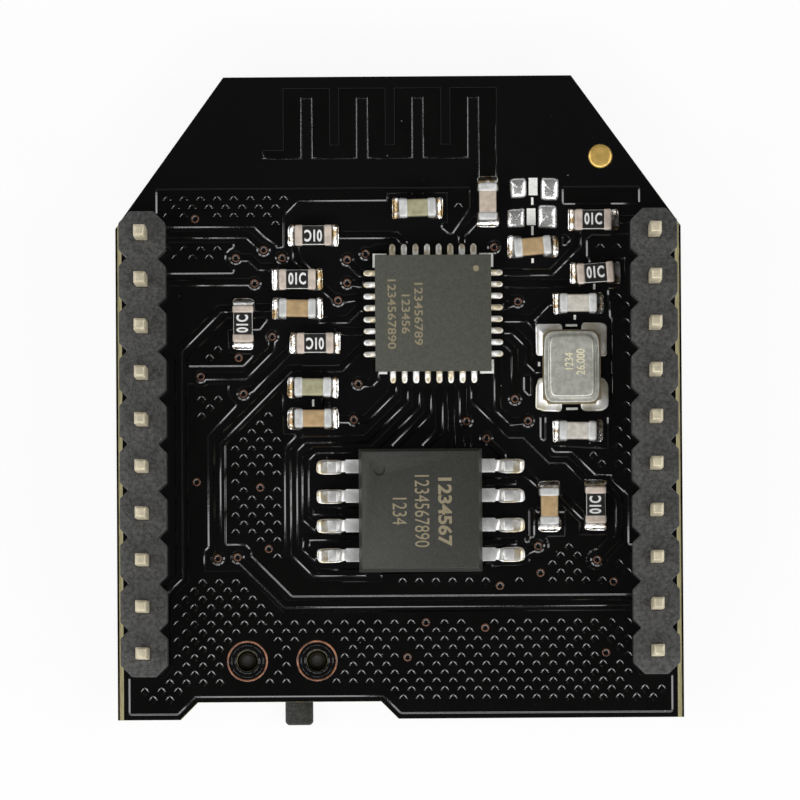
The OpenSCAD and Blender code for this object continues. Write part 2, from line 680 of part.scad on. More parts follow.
// One long side of a strip: a run of cells with a V between each two.
function strip_side(side) = let (end_cut = 0.5) concat(
    [for (i = [0:row_pins - 1])
        let (low_y = i * pin_pitch - strip_l / 2,
            low = i == 0 ? end_cut : cell_notch,
            high = i == row_pins - 1 ? end_cut : cell_notch)
        each [
            [side * (strip_w / 2 - low), low_y],
            [side * strip_w / 2, low_y + low],
            [side * strip_w / 2, low_y + pin_pitch - high],
        ]],
    [[side * (strip_w / 2 - end_cut), strip_l / 2]]);

module header_strip(side) {
    left = strip_side(-1);
    color([0.16, 0.16, 0.16]) difference() {
        translate([side * row_x, row_mid_y, strip_z]) linear_extrude(strip_h)
            polygon(concat(strip_side(1), [for (i = [len(left) - 1:-1:0]) left[i]]));
        header_pins(side);
    }
}

// A square pin with bevelled ends, standing on the origin.
module square_pin() {
    l = pin_tail + z_pins - z_back + pin_rise;
    half = pin_size / 2;
    end = half - pin_tip / 2;
    profile = [[-end, 0], [end, 0], [half, pin_tip], [half, l - pin_tip], [end, l], [-end, l],
        [-half, l - pin_tip], [-half, pin_tip]];
    intersection() {
        along_y(2 * pin_size) polygon(profile);
        along_x(2 * pin_size) polygon(profile);
    }
}

module header_pins(side) {
    color([0.87, 0.78, 0.55]) pin_places(side)
        translate([0, 0, z_back - pin_tail]) square_pin();
}

// Solder fills each plated hole and makes a cone round the tail, on the board's hidden side.
module header_solder(side) {
    cone_h = pin_tail - 0.25;
    color([0.8, 0.81, 0.82]) difference() {
        pin_places(side) {
            translate([0, 0, z_back - cone_h])
                cylinder(h = cone_h, r1 = pin_size * 0.75, r2 = pin_hole_d / 2 + 0.3, $fn = 32);
            translate([0, 0, z_back]) cylinder(h = board_t, d = pin_hole_d, $fn = 32);
        }
        header_pins(side);
    }
}

module left_header_strip() { header_strip(-1); }
module right_header_strip() { header_strip(1); }
module left_header_pins() { header_pins(-1); }
module right_header_pins() { header_pins(1); }
module left_header_solder() { header_solder(-1); }
module right_header_solder() { header_solder(1); }

// ---- Wi-Fi chip ----

wifi_lead_h = 0.2;

module wifi_chip_body() {
    color([0.27, 0.27, 0.27]) difference() {
        translate([each wifi_at - [1, 1] * wifi_w / 2, wifi_z]) cube([wifi_w, wifi_w, wifi_h]);
        wifi_chip_leads();
    }
}

// Flush leads with round inner ends, and the ground pad with its one cut corner.
module wifi_chip_leads() {
    half = wifi_pad_w / 2;
    color([0.82, 0.82, 0.8]) {
        wifi_sides() translate([0, 0, wifi_z]) {
            translate([-wifi_lead_w / 2, 0, 0])
                cube([wifi_lead_w, wifi_lead_l - wifi_lead_w / 2, wifi_lead_h]);
            translate([0, wifi_lead_l - wifi_lead_w / 2, 0])
                cylinder(h = wifi_lead_h, d = wifi_lead_w, $fn = 24);
        }
        translate([each wifi_at, wifi_z]) linear_extrude(wifi_lead_h)
            polygon([[-half, -half], [half, -half], [half, half - 0.35], [half - 0.35, half],
                [-half, half]]);
    }
}

// Solder under each lead, climbing its outer end.
module wifi_chip_solder() {
    climb = fillet(wifi_toe, solder_t + wifi_lead_h);
    color([0.85, 0.86, 0.86]) {
        wifi_sides() translate([0, 0, z_face]) along_x(wifi_lead_w)
            polygon(concat([[-wifi_toe, 0]],
                [for (p = climb) [p[0] - wifi_toe, p[1]]],
                [[0, solder_t], [wifi_lead_l, solder_t], [wifi_lead_l, 0]]));
        translate([each wifi_at - [1, 1] * wifi_pad_w / 2, z_face])
            cube([wifi_pad_w, wifi_pad_w, solder_t]);
    }
}

// ---- Memory chip ----

mem_stand = 0.1;
mem_mid_z = mem_z + (mem_stand + mem_h) / 2;

module mem_section() {
    half = mem_w / 2;
    band = mem_lead_t / 2;
    right = [[half - mem_lean, mem_z + mem_stand], [half, mem_mid_z - band],
        [half, mem_mid_z + band], [half - mem_lean, mem_z + mem_h]];
    polygon(concat(right, [for (i = [len(right) - 1:-1:0]) [-right[i][0], right[i][1]]]));
}

module memory_chip_body() {
    dimple_in = 0.9;
    color([0.24, 0.24, 0.24]) difference() {
        translate(mem_at) intersection() {
            along_y(2 * mem_w) mem_section();
            along_x(2 * mem_w) mem_section();
        }
        translate([each mem_at + [-1, 1] * (mem_w / 2 - dimple_in), mem_z + mem_h - 0.08])
            cylinder(h = past, d = 0.5, $fn = 32);
        memory_chip_leads();
    }
}

// A gull-wing lead: out of the body on a wide shoulder, down and out again to a flat foot.
module mem_lead() {
    root = 0.4;
    heel = mem_toe - mem_foot_l;
    knee = 0.14 - heel;
    bend_r = mem_lead_t * 0.75;
    path = [[root, mem_mid_z], [knee, mem_mid_z], [-heel, mem_z + mem_lead_t / 2],
        [-mem_toe, mem_z + mem_lead_t / 2]];
    along_y(mem_lead_w) polygon(strip(bent(path, bend_r), mem_lead_t));
    translate([knee + bend_r, -mem_shoulder_w / 2, mem_mid_z - mem_lead_t / 2])
        cube([root - knee - bend_r, mem_shoulder_w, mem_lead_t]);
}

module memory_chip_leads() {
    color([0.85, 0.85, 0.85]) mem_sides() mem_lead();
}

module memory_chip_solder() {
    color([0.86, 0.87, 0.87]) difference() {
        mem_sides() translate([mem_pad_l / 2 - mem_toe - mem_solder, 0, z_face])
            mound(mem_pad_l, mem_pad_w, solder_t + mem_lead_t * 0.9, mem_solder * 0.8, 0.08);
        memory_chip_leads();
    }
}

// ---- Crystal ----

module crystal_base() {
    notch_r = 0.2;
    color([0.45, 0.42, 0.36]) translate([each xtal_at, xtal_z]) difference() {
        translate([-xtal_w / 2, -xtal_l / 2, 0]) cube([xtal_w, xtal_l, xtal_base_h]);
        for (sx = [-1, 1], sy = [-1, 1]) translate([sx * xtal_w / 2, sy * xtal_l / 2, -past])
            cylinder(h = xtal_base_h + 2 * past, r = notch_r, $fn = 32);
    }
}

// A pressed steel lid: a thin flange welded to the base and a raised middle.
module crystal_lid() {
    flange_in = 0.06;
    rise_in = 0.3;
    flange_t = 0.1;
    color([0.7, 0.69, 0.66]) translate([each xtal_at, xtal_z + xtal_base_h]) {
        linear_extrude(flange_t)
            polygon(round_box(xtal_w - 2 * flange_in, xtal_l - 2 * flange_in, 0.26));
        linear_extrude(xtal_lid_h)
            polygon(round_box(xtal_w - 2 * rise_in, xtal_l - 2 * rise_in, 0.17));
    }
}

module crystal_solder() {
    color([0.88, 0.88, 0.87]) difference() {
        xtal_pads() translate([0, 0, z_face])
            mound(xtal_pad_w, xtal_pad_l, 0.3, xtal_pad_reach, xtal_pad_reach);
        crystal_base();
    }
}

// ---- Chip capacitors and resistors ----

// A bar of square section with its long edges rounded, lying along X on the board's solder.
module small_bar(l, w, h, r) {
    translate([0, 0, h / 2]) along_x(l) polygon(round_box(w, h, r));
}

module ceramic(at) {
    placed(at, small_z + end_t)
        small_bar(chip_l - 2 * end_t, chip_w - 2 * end_t, cap_h - 2 * end_t, 0.05);
}

module capacitor(i) {
    color(CAPACITOR_COLOURS[i]) ceramic(CAPACITORS[i]);
}

// A metal cup on each end of every capacitor.
module capacitor_ends() {
    color([0.86, 0.87, 0.88]) for (at = CAPACITORS) difference() {
        placed(at, small_z) for (side = [-1, 1])
            translate([side * (chip_l - end_l) / 2, 0, 0]) small_bar(end_l, chip_w, cap_h, 0.09);
        ceramic(at);
    }
}

module substrate(at) {
    core_l = chip_l - 2 * end_t;
    placed(at, small_z + end_t)
        translate([-core_l / 2, -chip_w / 2, 0]) cube([core_l, chip_w, res_h - 2 * end_t]);
}

module resistor(i) {
    color([0.9, 0.9, 0.88]) substrate(RESISTORS[i]);
}

module resistor_coats() {
    coat_l = chip_l - 2 * end_l;
    coat_w = chip_w - 0.06;
    color([0.08, 0.08, 0.08]) for (at = RESISTORS) placed(at, small_z + res_h - end_t)
        translate([-coat_l / 2, -coat_w / 2, 0]) cube([coat_l, coat_w, coat_t]);
}

// Metal that wraps over the top, end and bottom of every resistor.
module resistor_ends() {
    color([0.82, 0.78, 0.7]) for (at = RESISTORS) difference() {
        placed(at, small_z) for (side = [-1, 1])
            translate([side * (chip_l - end_l) / 2 - end_l / 2, -chip_w / 2, 0])
                cube([end_l, chip_w, res_h]);
        substrate(at);
    }
}

// Solder under and round each end of every small part.
module small_part_solder() {
    color([0.8, 0.79, 0.75]) for (at = concat(CAPACITORS, RESISTORS)) difference() {
        small_pads(at) translate([0, 0, z_face])
            end_solder(small_pad_l, small_pad_w, solder_h, solder_reach);
        placed(at, small_z) translate([-chip_l / 2, -chip_w / 2, 0]) cube([chip_l, chip_w, cap_h]);
    }
}

// ---- Slide switch ----

base_w = switch_w - 2 * cover_t;
base_d = switch_d - 2 * cover_t;
base_h = switch_h - cover_t;
floor_h = 0.4;
peg_tip = 0.15;
block_z = base_h - slide_gap - block_h;
lever_z = base_h - slide_gap - lever_h;
lever_room = lever_w + travel + 2 * slide_gap;
foot_l = 0.55;
foot_w = 0.5;
terminal_w = 0.4;
// Each terminal's foot and the two ends of its contact plate, across the switch.
TERMINALS = [[-2.25, -2.1, -0.65], [0.75, -0.35, 0.95], [2.25, 1.2, 2.1]];

// The switch hangs from the board: its own Z runs down from the board's hidden side.
module under_board() {
    translate([switch_x, switch_y, z_back]) mirror([0, 0, 1]) children();
}

module centred_box(w, d, z0, z1) {
    translate([-w / 2, -d / 2, z0]) cube([w, d, z1 - z0]);
}

module switch_housing() {
    color([0.12, 0.12, 0.12]) difference() {
        under_board() {
            centred_box(base_w, base_d, 0, base_h);
            for (side = [-1, 1]) translate([side * peg_gap / 2, 0, 0]) {
                translate([0, 0, peg_tip - peg_l]) cylinder(h = peg_l, d = peg_d, $fn = 32);
                translate([0, 0, -peg_l])
                    cylinder(h = peg_tip, d1 = peg_d - 2 * peg_tip, d2 = peg_d, $fn = 32);
            }
        }
        under_board() {
            centred_box(block_w + travel + 2 * slide_gap, block_d + 2 * slide_gap, floor_h,
                base_h + past);
            translate([0, -base_d / 2, 0])
                centred_box(lever_room, base_d, lever_z - slide_gap, base_h + past);
        }
        switch_terminals();
    }
}

module cover_feet() {
    for (sx = [-1, 1], sy = [-1, 1])
        translate([sx * (switch_w / 2 + foot_l / 2 - cover_t / 2), sy * (switch_d - foot_w) / 2, 0])
            centred_box(foot_l + cover_t, foot_w, 0, cover_t);
}

// A folded steel cover: a flat top, skirts that grip the housing and four feet on the board.
module switch_cover() {
    end_x = (switch_w - cover_t) / 2;
    tab_w = (switch_w - lever_room) / 2 - 0.1;
    color([0.72, 0.72, 0.7]) under_board() {
        centred_box(switch_w, switch_d, base_h, switch_h);
        for (sx = [-1, 1]) {
            translate([sx * end_x, 0, 0]) centred_box(cover_t, switch_d, 0.5, base_h);
            for (sy = [-1, 1]) translate([sx * end_x, sy * (switch_d - foot_w) / 2, 0])
                centred_box(cover_t, foot_w, 0, 0.5);
            translate([sx * (switch_w - tab_w) / 2, (cover_t - switch_d) / 2, 0])
                centred_box(tab_w, cover_t, 0.7, base_h);
        }
        translate([0, (switch_d - cover_t) / 2, 0]) centred_box(0.6 * switch_w, cover_t, 0.8, base_h);
        cover_feet();
    }
}

// The sliding block and its lever, shown at the right-hand end of its travel.
module switch_slider() {
    lever_end = switch_d / 2 + lever_l;
    color([0.18, 0.18, 0.18]) under_board() translate([travel / 2, 0, 0]) {
        centred_box(block_w, block_d, block_z, block_z + block_h);
        translate([0, 0, lever_z]) linear_extrude(lever_h)
            polygon([[-lever_w / 2, -block_d / 2], [-lever_w / 2, lever_bevel - lever_end],
                [lever_bevel - lever_w / 2, -lever_end], [lever_w / 2 - lever_bevel, -lever_end],
                [lever_w / 2, lever_bevel - lever_end], [lever_w / 2, -block_d / 2]]);
    }
}

// A sprung bronze strip under the block, with a foot over each of two plates.
module switch_contact() {
    high = block_z - terminal_t / 2;
    low = floor_h + terminal_t * 1.5 + slide_gap;
    reach = 0.75;
    path = [[-reach - 0.4, high], [-reach, low], [0.3 - reach, high], [reach - 0.3, high],
        [reach, low], [reach + 0.4, high]];
    color([0.75, 0.55, 0.3]) under_board() translate([travel / 2, 0, 0])
        along_y(0.6) polygon(strip(path, terminal_t));
}

// Three terminals: a foot on the board, a leg through the back wall and a plate on the floor.
module switch_terminals() {
    wall_y = block_d / 2 + slide_gap;
    toe_y = switch_d / 2 + foot_l;
    path = [[toe_y, terminal_t / 2], [switch_d / 2, terminal_t / 2],
        [base_d / 2 - 0.05, floor_h + terminal_t / 2], [wall_y - nib, floor_h + terminal_t / 2]];
    color([0.8, 0.78, 0.7]) under_board() for (t = TERMINALS) {
        translate([t[0], 0, 0]) along_x(terminal_w) polygon(strip(path, terminal_t));
        translate([t[1], -0.3, floor_h]) cube([t[2] - t[1], wall_y + 0.3, terminal_t]);
    }
}

module switch_solder() {
    color([0.8, 0.81, 0.82]) difference() {
        under_board() {
            for (t = TERMINALS) translate([t[0], switch_d / 2 + 0.45, 0])
                mound(terminal_w + 0.3, 0.8, 0.2, 0.14, 0.14);
            for (sx = [-1, 1], sy = [-1, 1])
                translate([sx * (switch_w / 2 + 0.45), sy * (switch_d - foot_w) / 2, 0])
                    mound(0.8, foot_w + 0.3, 0.22, 0.14, 0.14);
        }
        switch_terminals();
        switch_cover();
    }
}

circuit_board();
antenna_trace();
signal_tracks();
ground_copper();
silk_marks();
fiducial();
bare_pads();
left_header_strip();
right_header_strip();
left_header_pins();
right_header_pins();
left_header_solder();
right_header_solder();
wifi_chip_body();
wifi_chip_leads();
wifi_chip_solder();
memory_chip_body();
memory_chip_leads();
memory_chip_solder();
crystal_base();
crystal_lid();
crystal_solder();
for (i = [0:len(CAPACITORS) - 1])
    capacitor(i);
capacitor_ends();
for (i = [0:len(RESISTORS) - 1])
    resistor(i);
resistor_coats();
resistor_ends();
small_part_solder();
switch_housing();
switch_cover();
switch_slider();
switch_contact();
switch_terminals();
switch_solder();
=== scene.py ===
"""Looks of a small radio module: a black circuit board with a printed antenna, two rows of pins,
two chips, a crystal, chip capacitors and resistors, and a slide switch under the board."""

import math

import bmesh
import bpy
import numpy as np
from bpy.props import FloatProperty, FloatVectorProperty, PointerProperty
from mathutils import Matrix, Vector
from mathutils.geometry import delaunay_2d_cdt


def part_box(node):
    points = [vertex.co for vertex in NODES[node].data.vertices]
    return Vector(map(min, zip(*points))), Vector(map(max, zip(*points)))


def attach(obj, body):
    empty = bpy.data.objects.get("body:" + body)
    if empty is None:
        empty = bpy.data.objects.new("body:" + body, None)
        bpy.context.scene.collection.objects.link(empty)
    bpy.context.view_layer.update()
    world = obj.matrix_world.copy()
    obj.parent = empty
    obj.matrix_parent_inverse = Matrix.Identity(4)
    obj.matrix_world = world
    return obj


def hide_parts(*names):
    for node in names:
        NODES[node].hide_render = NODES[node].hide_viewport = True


bl_info = {
    "name": "Radio module looks",
    "version": (1, 0, 0),
    "blender": (4, 5, 0),
    "location": "3D View > Sidebar > Module",
    "description": "Dresses a radio module's solids with moulded, soldered and printed surfaces",
    "category": "Object",
}

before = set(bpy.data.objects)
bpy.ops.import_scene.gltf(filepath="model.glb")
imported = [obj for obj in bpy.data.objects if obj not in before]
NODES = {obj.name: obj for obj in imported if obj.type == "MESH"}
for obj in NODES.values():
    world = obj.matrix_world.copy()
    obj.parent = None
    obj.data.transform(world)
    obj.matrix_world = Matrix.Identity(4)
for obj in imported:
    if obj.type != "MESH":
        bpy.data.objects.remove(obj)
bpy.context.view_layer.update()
MM = 0.001
ROOT = "root"
SLIDER = "slider"
CAMERA_TURN = -0.37
SENSOR = 36
LEVEL = 0.99999
VOID_SIDES = 12
RING = 40
LETTER_RISE = 0.004
FACE_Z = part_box("circuit_board")[1].z
BACK_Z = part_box("circuit_board")[0].z


def numbered(prefix):
    """Names of the nodes that are prefix and a number, in order."""
    names = [n for n in NODES if n.startswith(prefix) and n[len(prefix):].isdigit()]
    return sorted(names, key=lambda n: int(n[len(prefix):]))


# ---- Sizes and colours that a user would change ----


def size_prop(name, text, millimetres):
    return FloatProperty(name=name, description=text, default=millimetres * MM, unit="LENGTH", precision=5)


def shaded(colour, share):
    """A colour made darker by a share below 1, or lighter, up to white."""
    return tuple(min(share * c, 1) for c in colour)


def colour_prop(name, text, rgb):
    return FloatVectorProperty(name=name, description=text, default=rgb, size=3, subtype="COLOR", min=0, max=1)


class BoardLook(bpy.types.PropertyGroup):
    """Lacquer, copper relief and ink of the circuit board."""

    lacquer: colour_prop("Lacquer", "Black lacquer over the bare laminate", (0.0035, 0.0035, 0.004))
    over_copper: colour_prop("Over copper", "The same lacquer where copper lies under it", (0.003, 0.003, 0.0028))
    laminate: colour_prop("Laminate", "Cut edges of the glass-epoxy board", (0.42, 0.37, 0.18))
    ink: colour_prop("Ink", "Printed white marks", (0.8, 0.8, 0.76))
    brown: colour_prop("Brown rim", "Copper that shows where the lacquer is thin, round holes", (0.16, 0.068, 0.035))
    bevel: size_prop("Bevel", "Worn edge of the laminate", 0.045)
    foot: size_prop("Foot", "How far a copper edge spreads at its foot", 0.06)
    shoulder: size_prop("Shoulder", "How far a copper edge is rounded at its top", 0.045)
    void_pitch: size_prop("Void pitch", "Distance between two voids in a row of the hatched ground", 0.718)
    void_w: size_prop("Void width", "Width of one diamond-shaped void", 0.46)
    void_depth: size_prop("Void depth", "Depth of a void under its lacquer", 0.04)
    void_margin: size_prop("Void margin", "Least distance from a void's middle to a copper edge", 0.26)
    void_start_x: size_prop("First void across", "From the hatched copper's left-hand end to its first void", 0.61)
    void_start_y: size_prop("First void along", "From the hatched copper's front to its first void", 0.94)
    lacquer_dull: FloatProperty(name="Lacquer roughness", default=0.07, min=0.0, max=1.0)


class MetalLook(bpy.types.PropertyGroup):
    """Solder, plating and pins."""

    solder: colour_prop("Solder", "Bright tin solder", (0.86, 0.86, 0.85))
    tin: colour_prop("Tin plate", "Matt plating of leads and end caps", (0.66, 0.67, 0.66))
    gold: colour_prop("Gold", "Plating of the round alignment mark", (0.9, 0.6, 0.17))
    pin: colour_prop("Pin", "Pale plating of the header pins", (0.66, 0.59, 0.43))
    lid: colour_prop("Lid", "Nickel plate of the crystal's lid", (0.6, 0.6, 0.54))
    warm: colour_prop("Warm film", "Thin brown film on the toes and feet of the chips", (0.6, 0.52, 0.36))
    dusty: colour_prop("Dusty film", "Dull patches of the solder at the crystal's corners", (0.62, 0.58, 0.46))
    resistor_cap: colour_prop("Resistor cap", "Matt plating of the resistors' ends", (0.66, 0.56, 0.48))
    flux: colour_prop("Flux", "Brown film that soldering leaves on solder", (0.2, 0.14, 0.07))
    steel: colour_prop("Steel", "Tin-plated steel of the switch's cover", (0.62, 0.62, 0.6))
    bronze: colour_prop("Bronze", "Phosphor bronze of the switch's contact and terminals", (0.72, 0.55, 0.3))


class MouldedLook(bpy.types.PropertyGroup):
    """Plastics and ceramics."""

    header: colour_prop("Header", "Plastic of the header strips", (0.047, 0.047, 0.046))
    wifi: colour_prop("Radio chip", "Epoxy of the square chip", (0.058, 0.06, 0.046))
    memory: colour_prop("Memory chip", "Epoxy of the chip with eight leads", (0.028, 0.029, 0.024))
    tan: colour_prop("Tan ceramic", "Body of the brown capacitors", (0.42, 0.29, 0.15))
    olive: colour_prop("Olive ceramic", "Body of the grey-green capacitors", (0.34, 0.32, 0.2))
    rose: colour_prop("Rose ceramic", "Body of the capacitor beside the antenna's feed", (0.5, 0.42, 0.34))
    pale: colour_prop("Pale ceramic", "Body of the pale capacitors", (0.56, 0.53, 0.47))
    alumina: colour_prop("Alumina", "Body of the resistors", (0.78, 0.77, 0.73))
    glaze: colour_prop("Glaze", "Top coat of the resistors", (0.012, 0.012, 0.012))
    mark: colour_prop("Mark", "Laser marks on the two chips", (0.25, 0.21, 0.13))
    switch: colour_prop("Switch", "Housing of the slide switch", (0.03, 0.03, 0.03))
    lever: colour_prop("Lever", "Lever of the slide switch", (0.022, 0.022, 0.02))


class StageLook(bpy.types.PropertyGroup):
    """Camera, lamps and backdrop."""

    camera_height: size_prop("Camera height", "Distance from the board to the camera", 450)
    view_w: size_prop("View width", "Width of the view at the board", 34.48)
    side_lamp: FloatProperty(name="Side lamps", description="Power of each lamp at the sides, in watts", default=0.9, min=0)
    front_lamp: FloatProperty(name="Front lamp", description="Power of each lamp in front, in watts", default=0.95, min=0)
    world: FloatProperty(name="World", description="Strength of the soft light from all round", default=0.1, min=0)


# ---- Shader sockets that add and multiply like numbers ----


class Wire:
    """An output socket; an expression on it adds the Math nodes that work it out."""

    def __init__(self, paint, socket):
        self.paint = paint
        self.socket = socket

    def math(self, operation, *terms):
        return self.paint.node("ShaderNodeMath", {"operation": operation}, terms)

    def __add__(self, other):
        return self.math("ADD", self, other)

    def __sub__(self, other):
        return self.math("SUBTRACT", self, other)

    def __rsub__(self, other):
        return self.math("SUBTRACT", other, self)

    def __mul__(self, other):
        return self.math("MULTIPLY", self, other)

    __radd__ = __add__
    __rmul__ = __mul__

    def size(self):
        """The value without its sign."""
        return self.math("ABSOLUTE", self)

    def over(self, low, high):
        """0 below low, 1 above high and a smooth step between."""
        settings = {"interpolation_type": "SMOOTHSTEP"}
        return self.paint.node("ShaderNodeMapRange", settings, {"Value": self, "From Min": low, "From Max": high})


class Paint:
    """A new material and the nodes that make its finish."""

    def __init__(self, name):
        self.material = bpy.data.materials.new(name)
        self.material.use_nodes = True
        self.tree = self.material.node_tree
        self.tree.nodes.clear()

    def node(self, kind, settings=None, sockets=None, out=0):
        """A node of that type: its settings first, then the values or links of its sockets."""
        made = self.tree.nodes.new(kind)
        for key, value in (settings or {}).items():
            setattr(made, key, value)
        pairs = sockets.items() if isinstance(sockets, dict) else enumerate(sockets or ())
        for key, value in pairs:
            self.feed(made.inputs[key], value)
        return None if out is None else Wire(self, made.outputs[out])

    def feed(self, socket, value):
        if isinstance(value, Wire):
            self.tree.links.new(value.socket, socket)
        elif hasattr(value, "__len__") and len(value) < len(socket.default_value):
            socket.default_value = (*value, 1)
        else:
            socket.default_value = value

    def place(self):
        """Object coordinates, in metres."""
        return self.node("ShaderNodeTexCoord", out="Object")

    def height_of(self, vector):
        """The Z of a vector."""
        return self.node("ShaderNodeSeparateXYZ", None, [vector], out="Z")

    def noise(self, grain, detail=2.0, stretch=(1, 1, 1)):
        """Cloudy noise between 0 and 1 whose lumps are about grain metres wide."""
        where = self.node("ShaderNodeMapping", None, {"Vector": self.place(), "Scale": stretch})
        return self.node("ShaderNodeTexNoise", None, {"Vector": where, "Scale": 1 / grain, "Detail": detail})

    def cells(self, grain):
        """Distance to the nearest of scattered points about grain metres apart, in grains."""
        return self.node("ShaderNodeTexVoronoi", None, {"Vector": self.place(), "Scale": 1 / grain})

    def mix(self, amount, first, second):
        """Blend of two colours."""
        return self.node("ShaderNodeMix", {"data_type": "RGBA"}, {0: amount, 6: first, 7: second}, out=2)

    def facing_up(self):
        """How far the surface faces up, from -1 to 1."""
        return self.height_of(self.node("ShaderNodeNewGeometry", out="True Normal"))

    def bump(self, height, depth):
        """A normal tilted by a height between 0 and 1 that stands for depth metres."""
        return self.node("ShaderNodeBump", None, {"Strength": 1.0, "Distance": depth, "Height": height})

    def backdrop_rays(self):
        """1 for a ray that sees the backdrop straight, in a mirror or through glass."""
        kinds = ("Camera", "Glossy", "Transmission")
        return [self.node("ShaderNodeLightPath", out="Is %s Ray" % kind) for kind in kinds]

    def finish(self, **sockets):
        """Joins the sockets to the surface and returns the material."""
        named = {key.replace("_", " "): value for key, value in sockets.items()}
        shader = self.node("ShaderNodeBsdfPrincipled", None, named)
        self.node("ShaderNodeOutputMaterial", None, {"Surface": shader}, out=None)
        return self.material


# ---- Finishes ----

# Each metal: its colour in MetalLook, roughness, grain and depth of its bumps in millimetres, the colour
# of its tarnish or None for a darker shade of its own, and how metallic it is.
METALS = {
    "gold plate": ("gold", 0.3, 0.06, 0.004, None, 0.7),
    "bare pad solder": ("solder", 0.2, 0.12, 0.02, None, 0.75),
    "pin plating": ("pin", 0.35, 0.06, 0.006, None, 0.45),
    "tail solder": ("solder", 0.14, 0.12, 0.008, None, 1.0),
    "lead plating": ("tin", 0.35, 0.04, 0.003, None, 1.0),
    "toe solder": ("solder", 0.3, 0.08, 0.008, "warm", 0.5),
    "lead tin": ("solder", 0.28, 0.08, 0.006, None, 0.6),
    "foot solder": ("solder", 0.22, 0.1, 0.012, "warm", 0.55),
    "crystal lid": ("lid", 0.32, 0.05, 0.004, None, 0.6),
    "corner solder": ("solder", 0.26, 0.16, 0.012, "dusty", 0.5),
    "end cap tin": ("tin", 0.38, 0.07, 0.008, None, 0.3),
    "resistor cap tin": ("resistor_cap", 0.38, 0.07, 0.008, None, 0.25),
    "small solder": ("solder", 0.15, 0.09, 0.02, "flux", 1.0),
    "switch steel": ("steel", 0.28, 0.1, 0.003, None, 1.0),
    "switch bronze": ("bronze", 0.3, 0.08, 0.003, None, 1.0),
    "switch solder": ("solder", 0.15, 0.09, 0.006, None, 1.0),
}

# Each moulding: its colour in MouldedLook, roughness, grain and depth of its bumps in millimetres, how
# strong its pale flecks are and how far its shade wanders.
MOULDINGS = {
    "header plastic": ("header", 0.5, 0.05, 0.012, 0.22, 0.45),
    "square chip epoxy": ("wifi", 0.5, 0.035, 0.005, 0.08, 0.16),
    "eight-lead chip epoxy": ("memory", 0.52, 0.035, 0.005, 0.1, 0.16),
    "switch plastic": ("switch", 0.5, 0.04, 0.005, 0.1, 0.25),
    "lever plastic": ("lever", 0.42, 0.06, 0.012, 0.12, 0.4),
}


def board_paint(look):
    """Gloss black lacquer on the faces and cut laminate on the edges, with drops of dust."""
    p = Paint("board lacquer")
    flat = p.facing_up().size().over(0.9, 0.98)
    fibre = p.noise(0.12 * MM, 3, (0.2, 0.2, 3))
    edge = p.mix(fibre.over(0.35, 0.65), shaded(look.laminate, 0.55), look.laminate)
    dust = 1 - p.cells(0.9 * MM).over(0.02, 0.045)
    haze = p.noise(3 * MM)
    face = p.mix(dust * p.noise(1.7 * MM).over(0.52, 0.6) * 0.5, look.lacquer, (0.35, 0.35, 0.33))
    rough = look.lacquer_dull + haze * 0.07 + (1 - flat) * 0.45 + dust * 0.3
    ripple = p.noise(0.9 * MM, 1) * 0.6 + p.noise(0.2 * MM) * 0.2
    return p.finish(Base_Color=p.mix(flat, edge, face), Roughness=rough, Specular_IOR_Level=0.5,
                    Normal=p.bump(ripple, 0.004 * MM))


def copper_paint(look, name="lacquered copper"):
    """The same lacquer where copper shows through it as a slightly warmer grey."""
    p = Paint(name)
    cloud = p.noise(1.4 * MM, 3)
    dust = 1 - p.cells(0.8 * MM).over(0.02, 0.05)
    tint = p.mix(cloud.over(0.3, 0.75), shaded(look.over_copper, 0.7), look.over_copper)
    face = p.mix(dust * p.noise(1.3 * MM).over(0.5, 0.6) * 0.45, tint, (0.35, 0.35, 0.33))
    ripple = p.noise(0.5 * MM, 2) * 0.7 + p.noise(0.08 * MM, 1) * 0.3
    return p.finish(Base_Color=face, Roughness=look.lacquer_dull + cloud * 0.07, Specular_IOR_Level=0.6,
                    Normal=p.bump(ripple, 0.004 * MM))


def brown_paint(name, colour):
    """Thin lacquer over copper, brown and glossy, in darker and lighter stretches."""
    p = Paint(name)
    cloud = p.noise(0.35 * MM, 3).over(0.3, 0.7)
    return p.finish(Base_Color=p.mix(cloud, shaded(colour, 0.3), colour),
                    Roughness=0.2 + cloud * 0.1, Specular_IOR_Level=0.6)


def ink_paint(look):
    """Printed white ink with small pinholes."""
    p = Paint("white ink")
    worn = p.noise(0.05 * MM, 3).over(0.33, 0.42)
    return p.finish(Base_Color=p.mix(worn, shaded(look.ink, 0.45), look.ink), Roughness=0.6,
                    Normal=p.bump(p.noise(0.03 * MM), 0.004 * MM))


def metal_paint(name):
    """Plated or soldered metal: patches of tarnish, grains of roughness and fine bumps."""
    look = bpy.context.scene.metal_look
    colour, dull, grain, depth, tarnish, metallic = METALS[name]
    colour, grain = getattr(look, colour), grain * MM
    p = Paint(name)
    patch = p.noise(grain * 5, 3).over(0.38, 0.62)
    grainy = p.noise(grain, 3)
    shade = p.mix(patch, getattr(look, tarnish) if tarnish else shaded(colour, 0.8), colour)
    return p.finish(Base_Color=shade, Metallic=metallic, Roughness=dull + grainy * dull * 0.8,
                    Normal=p.bump(grainy * 0.7 + patch * 0.3, depth * MM))


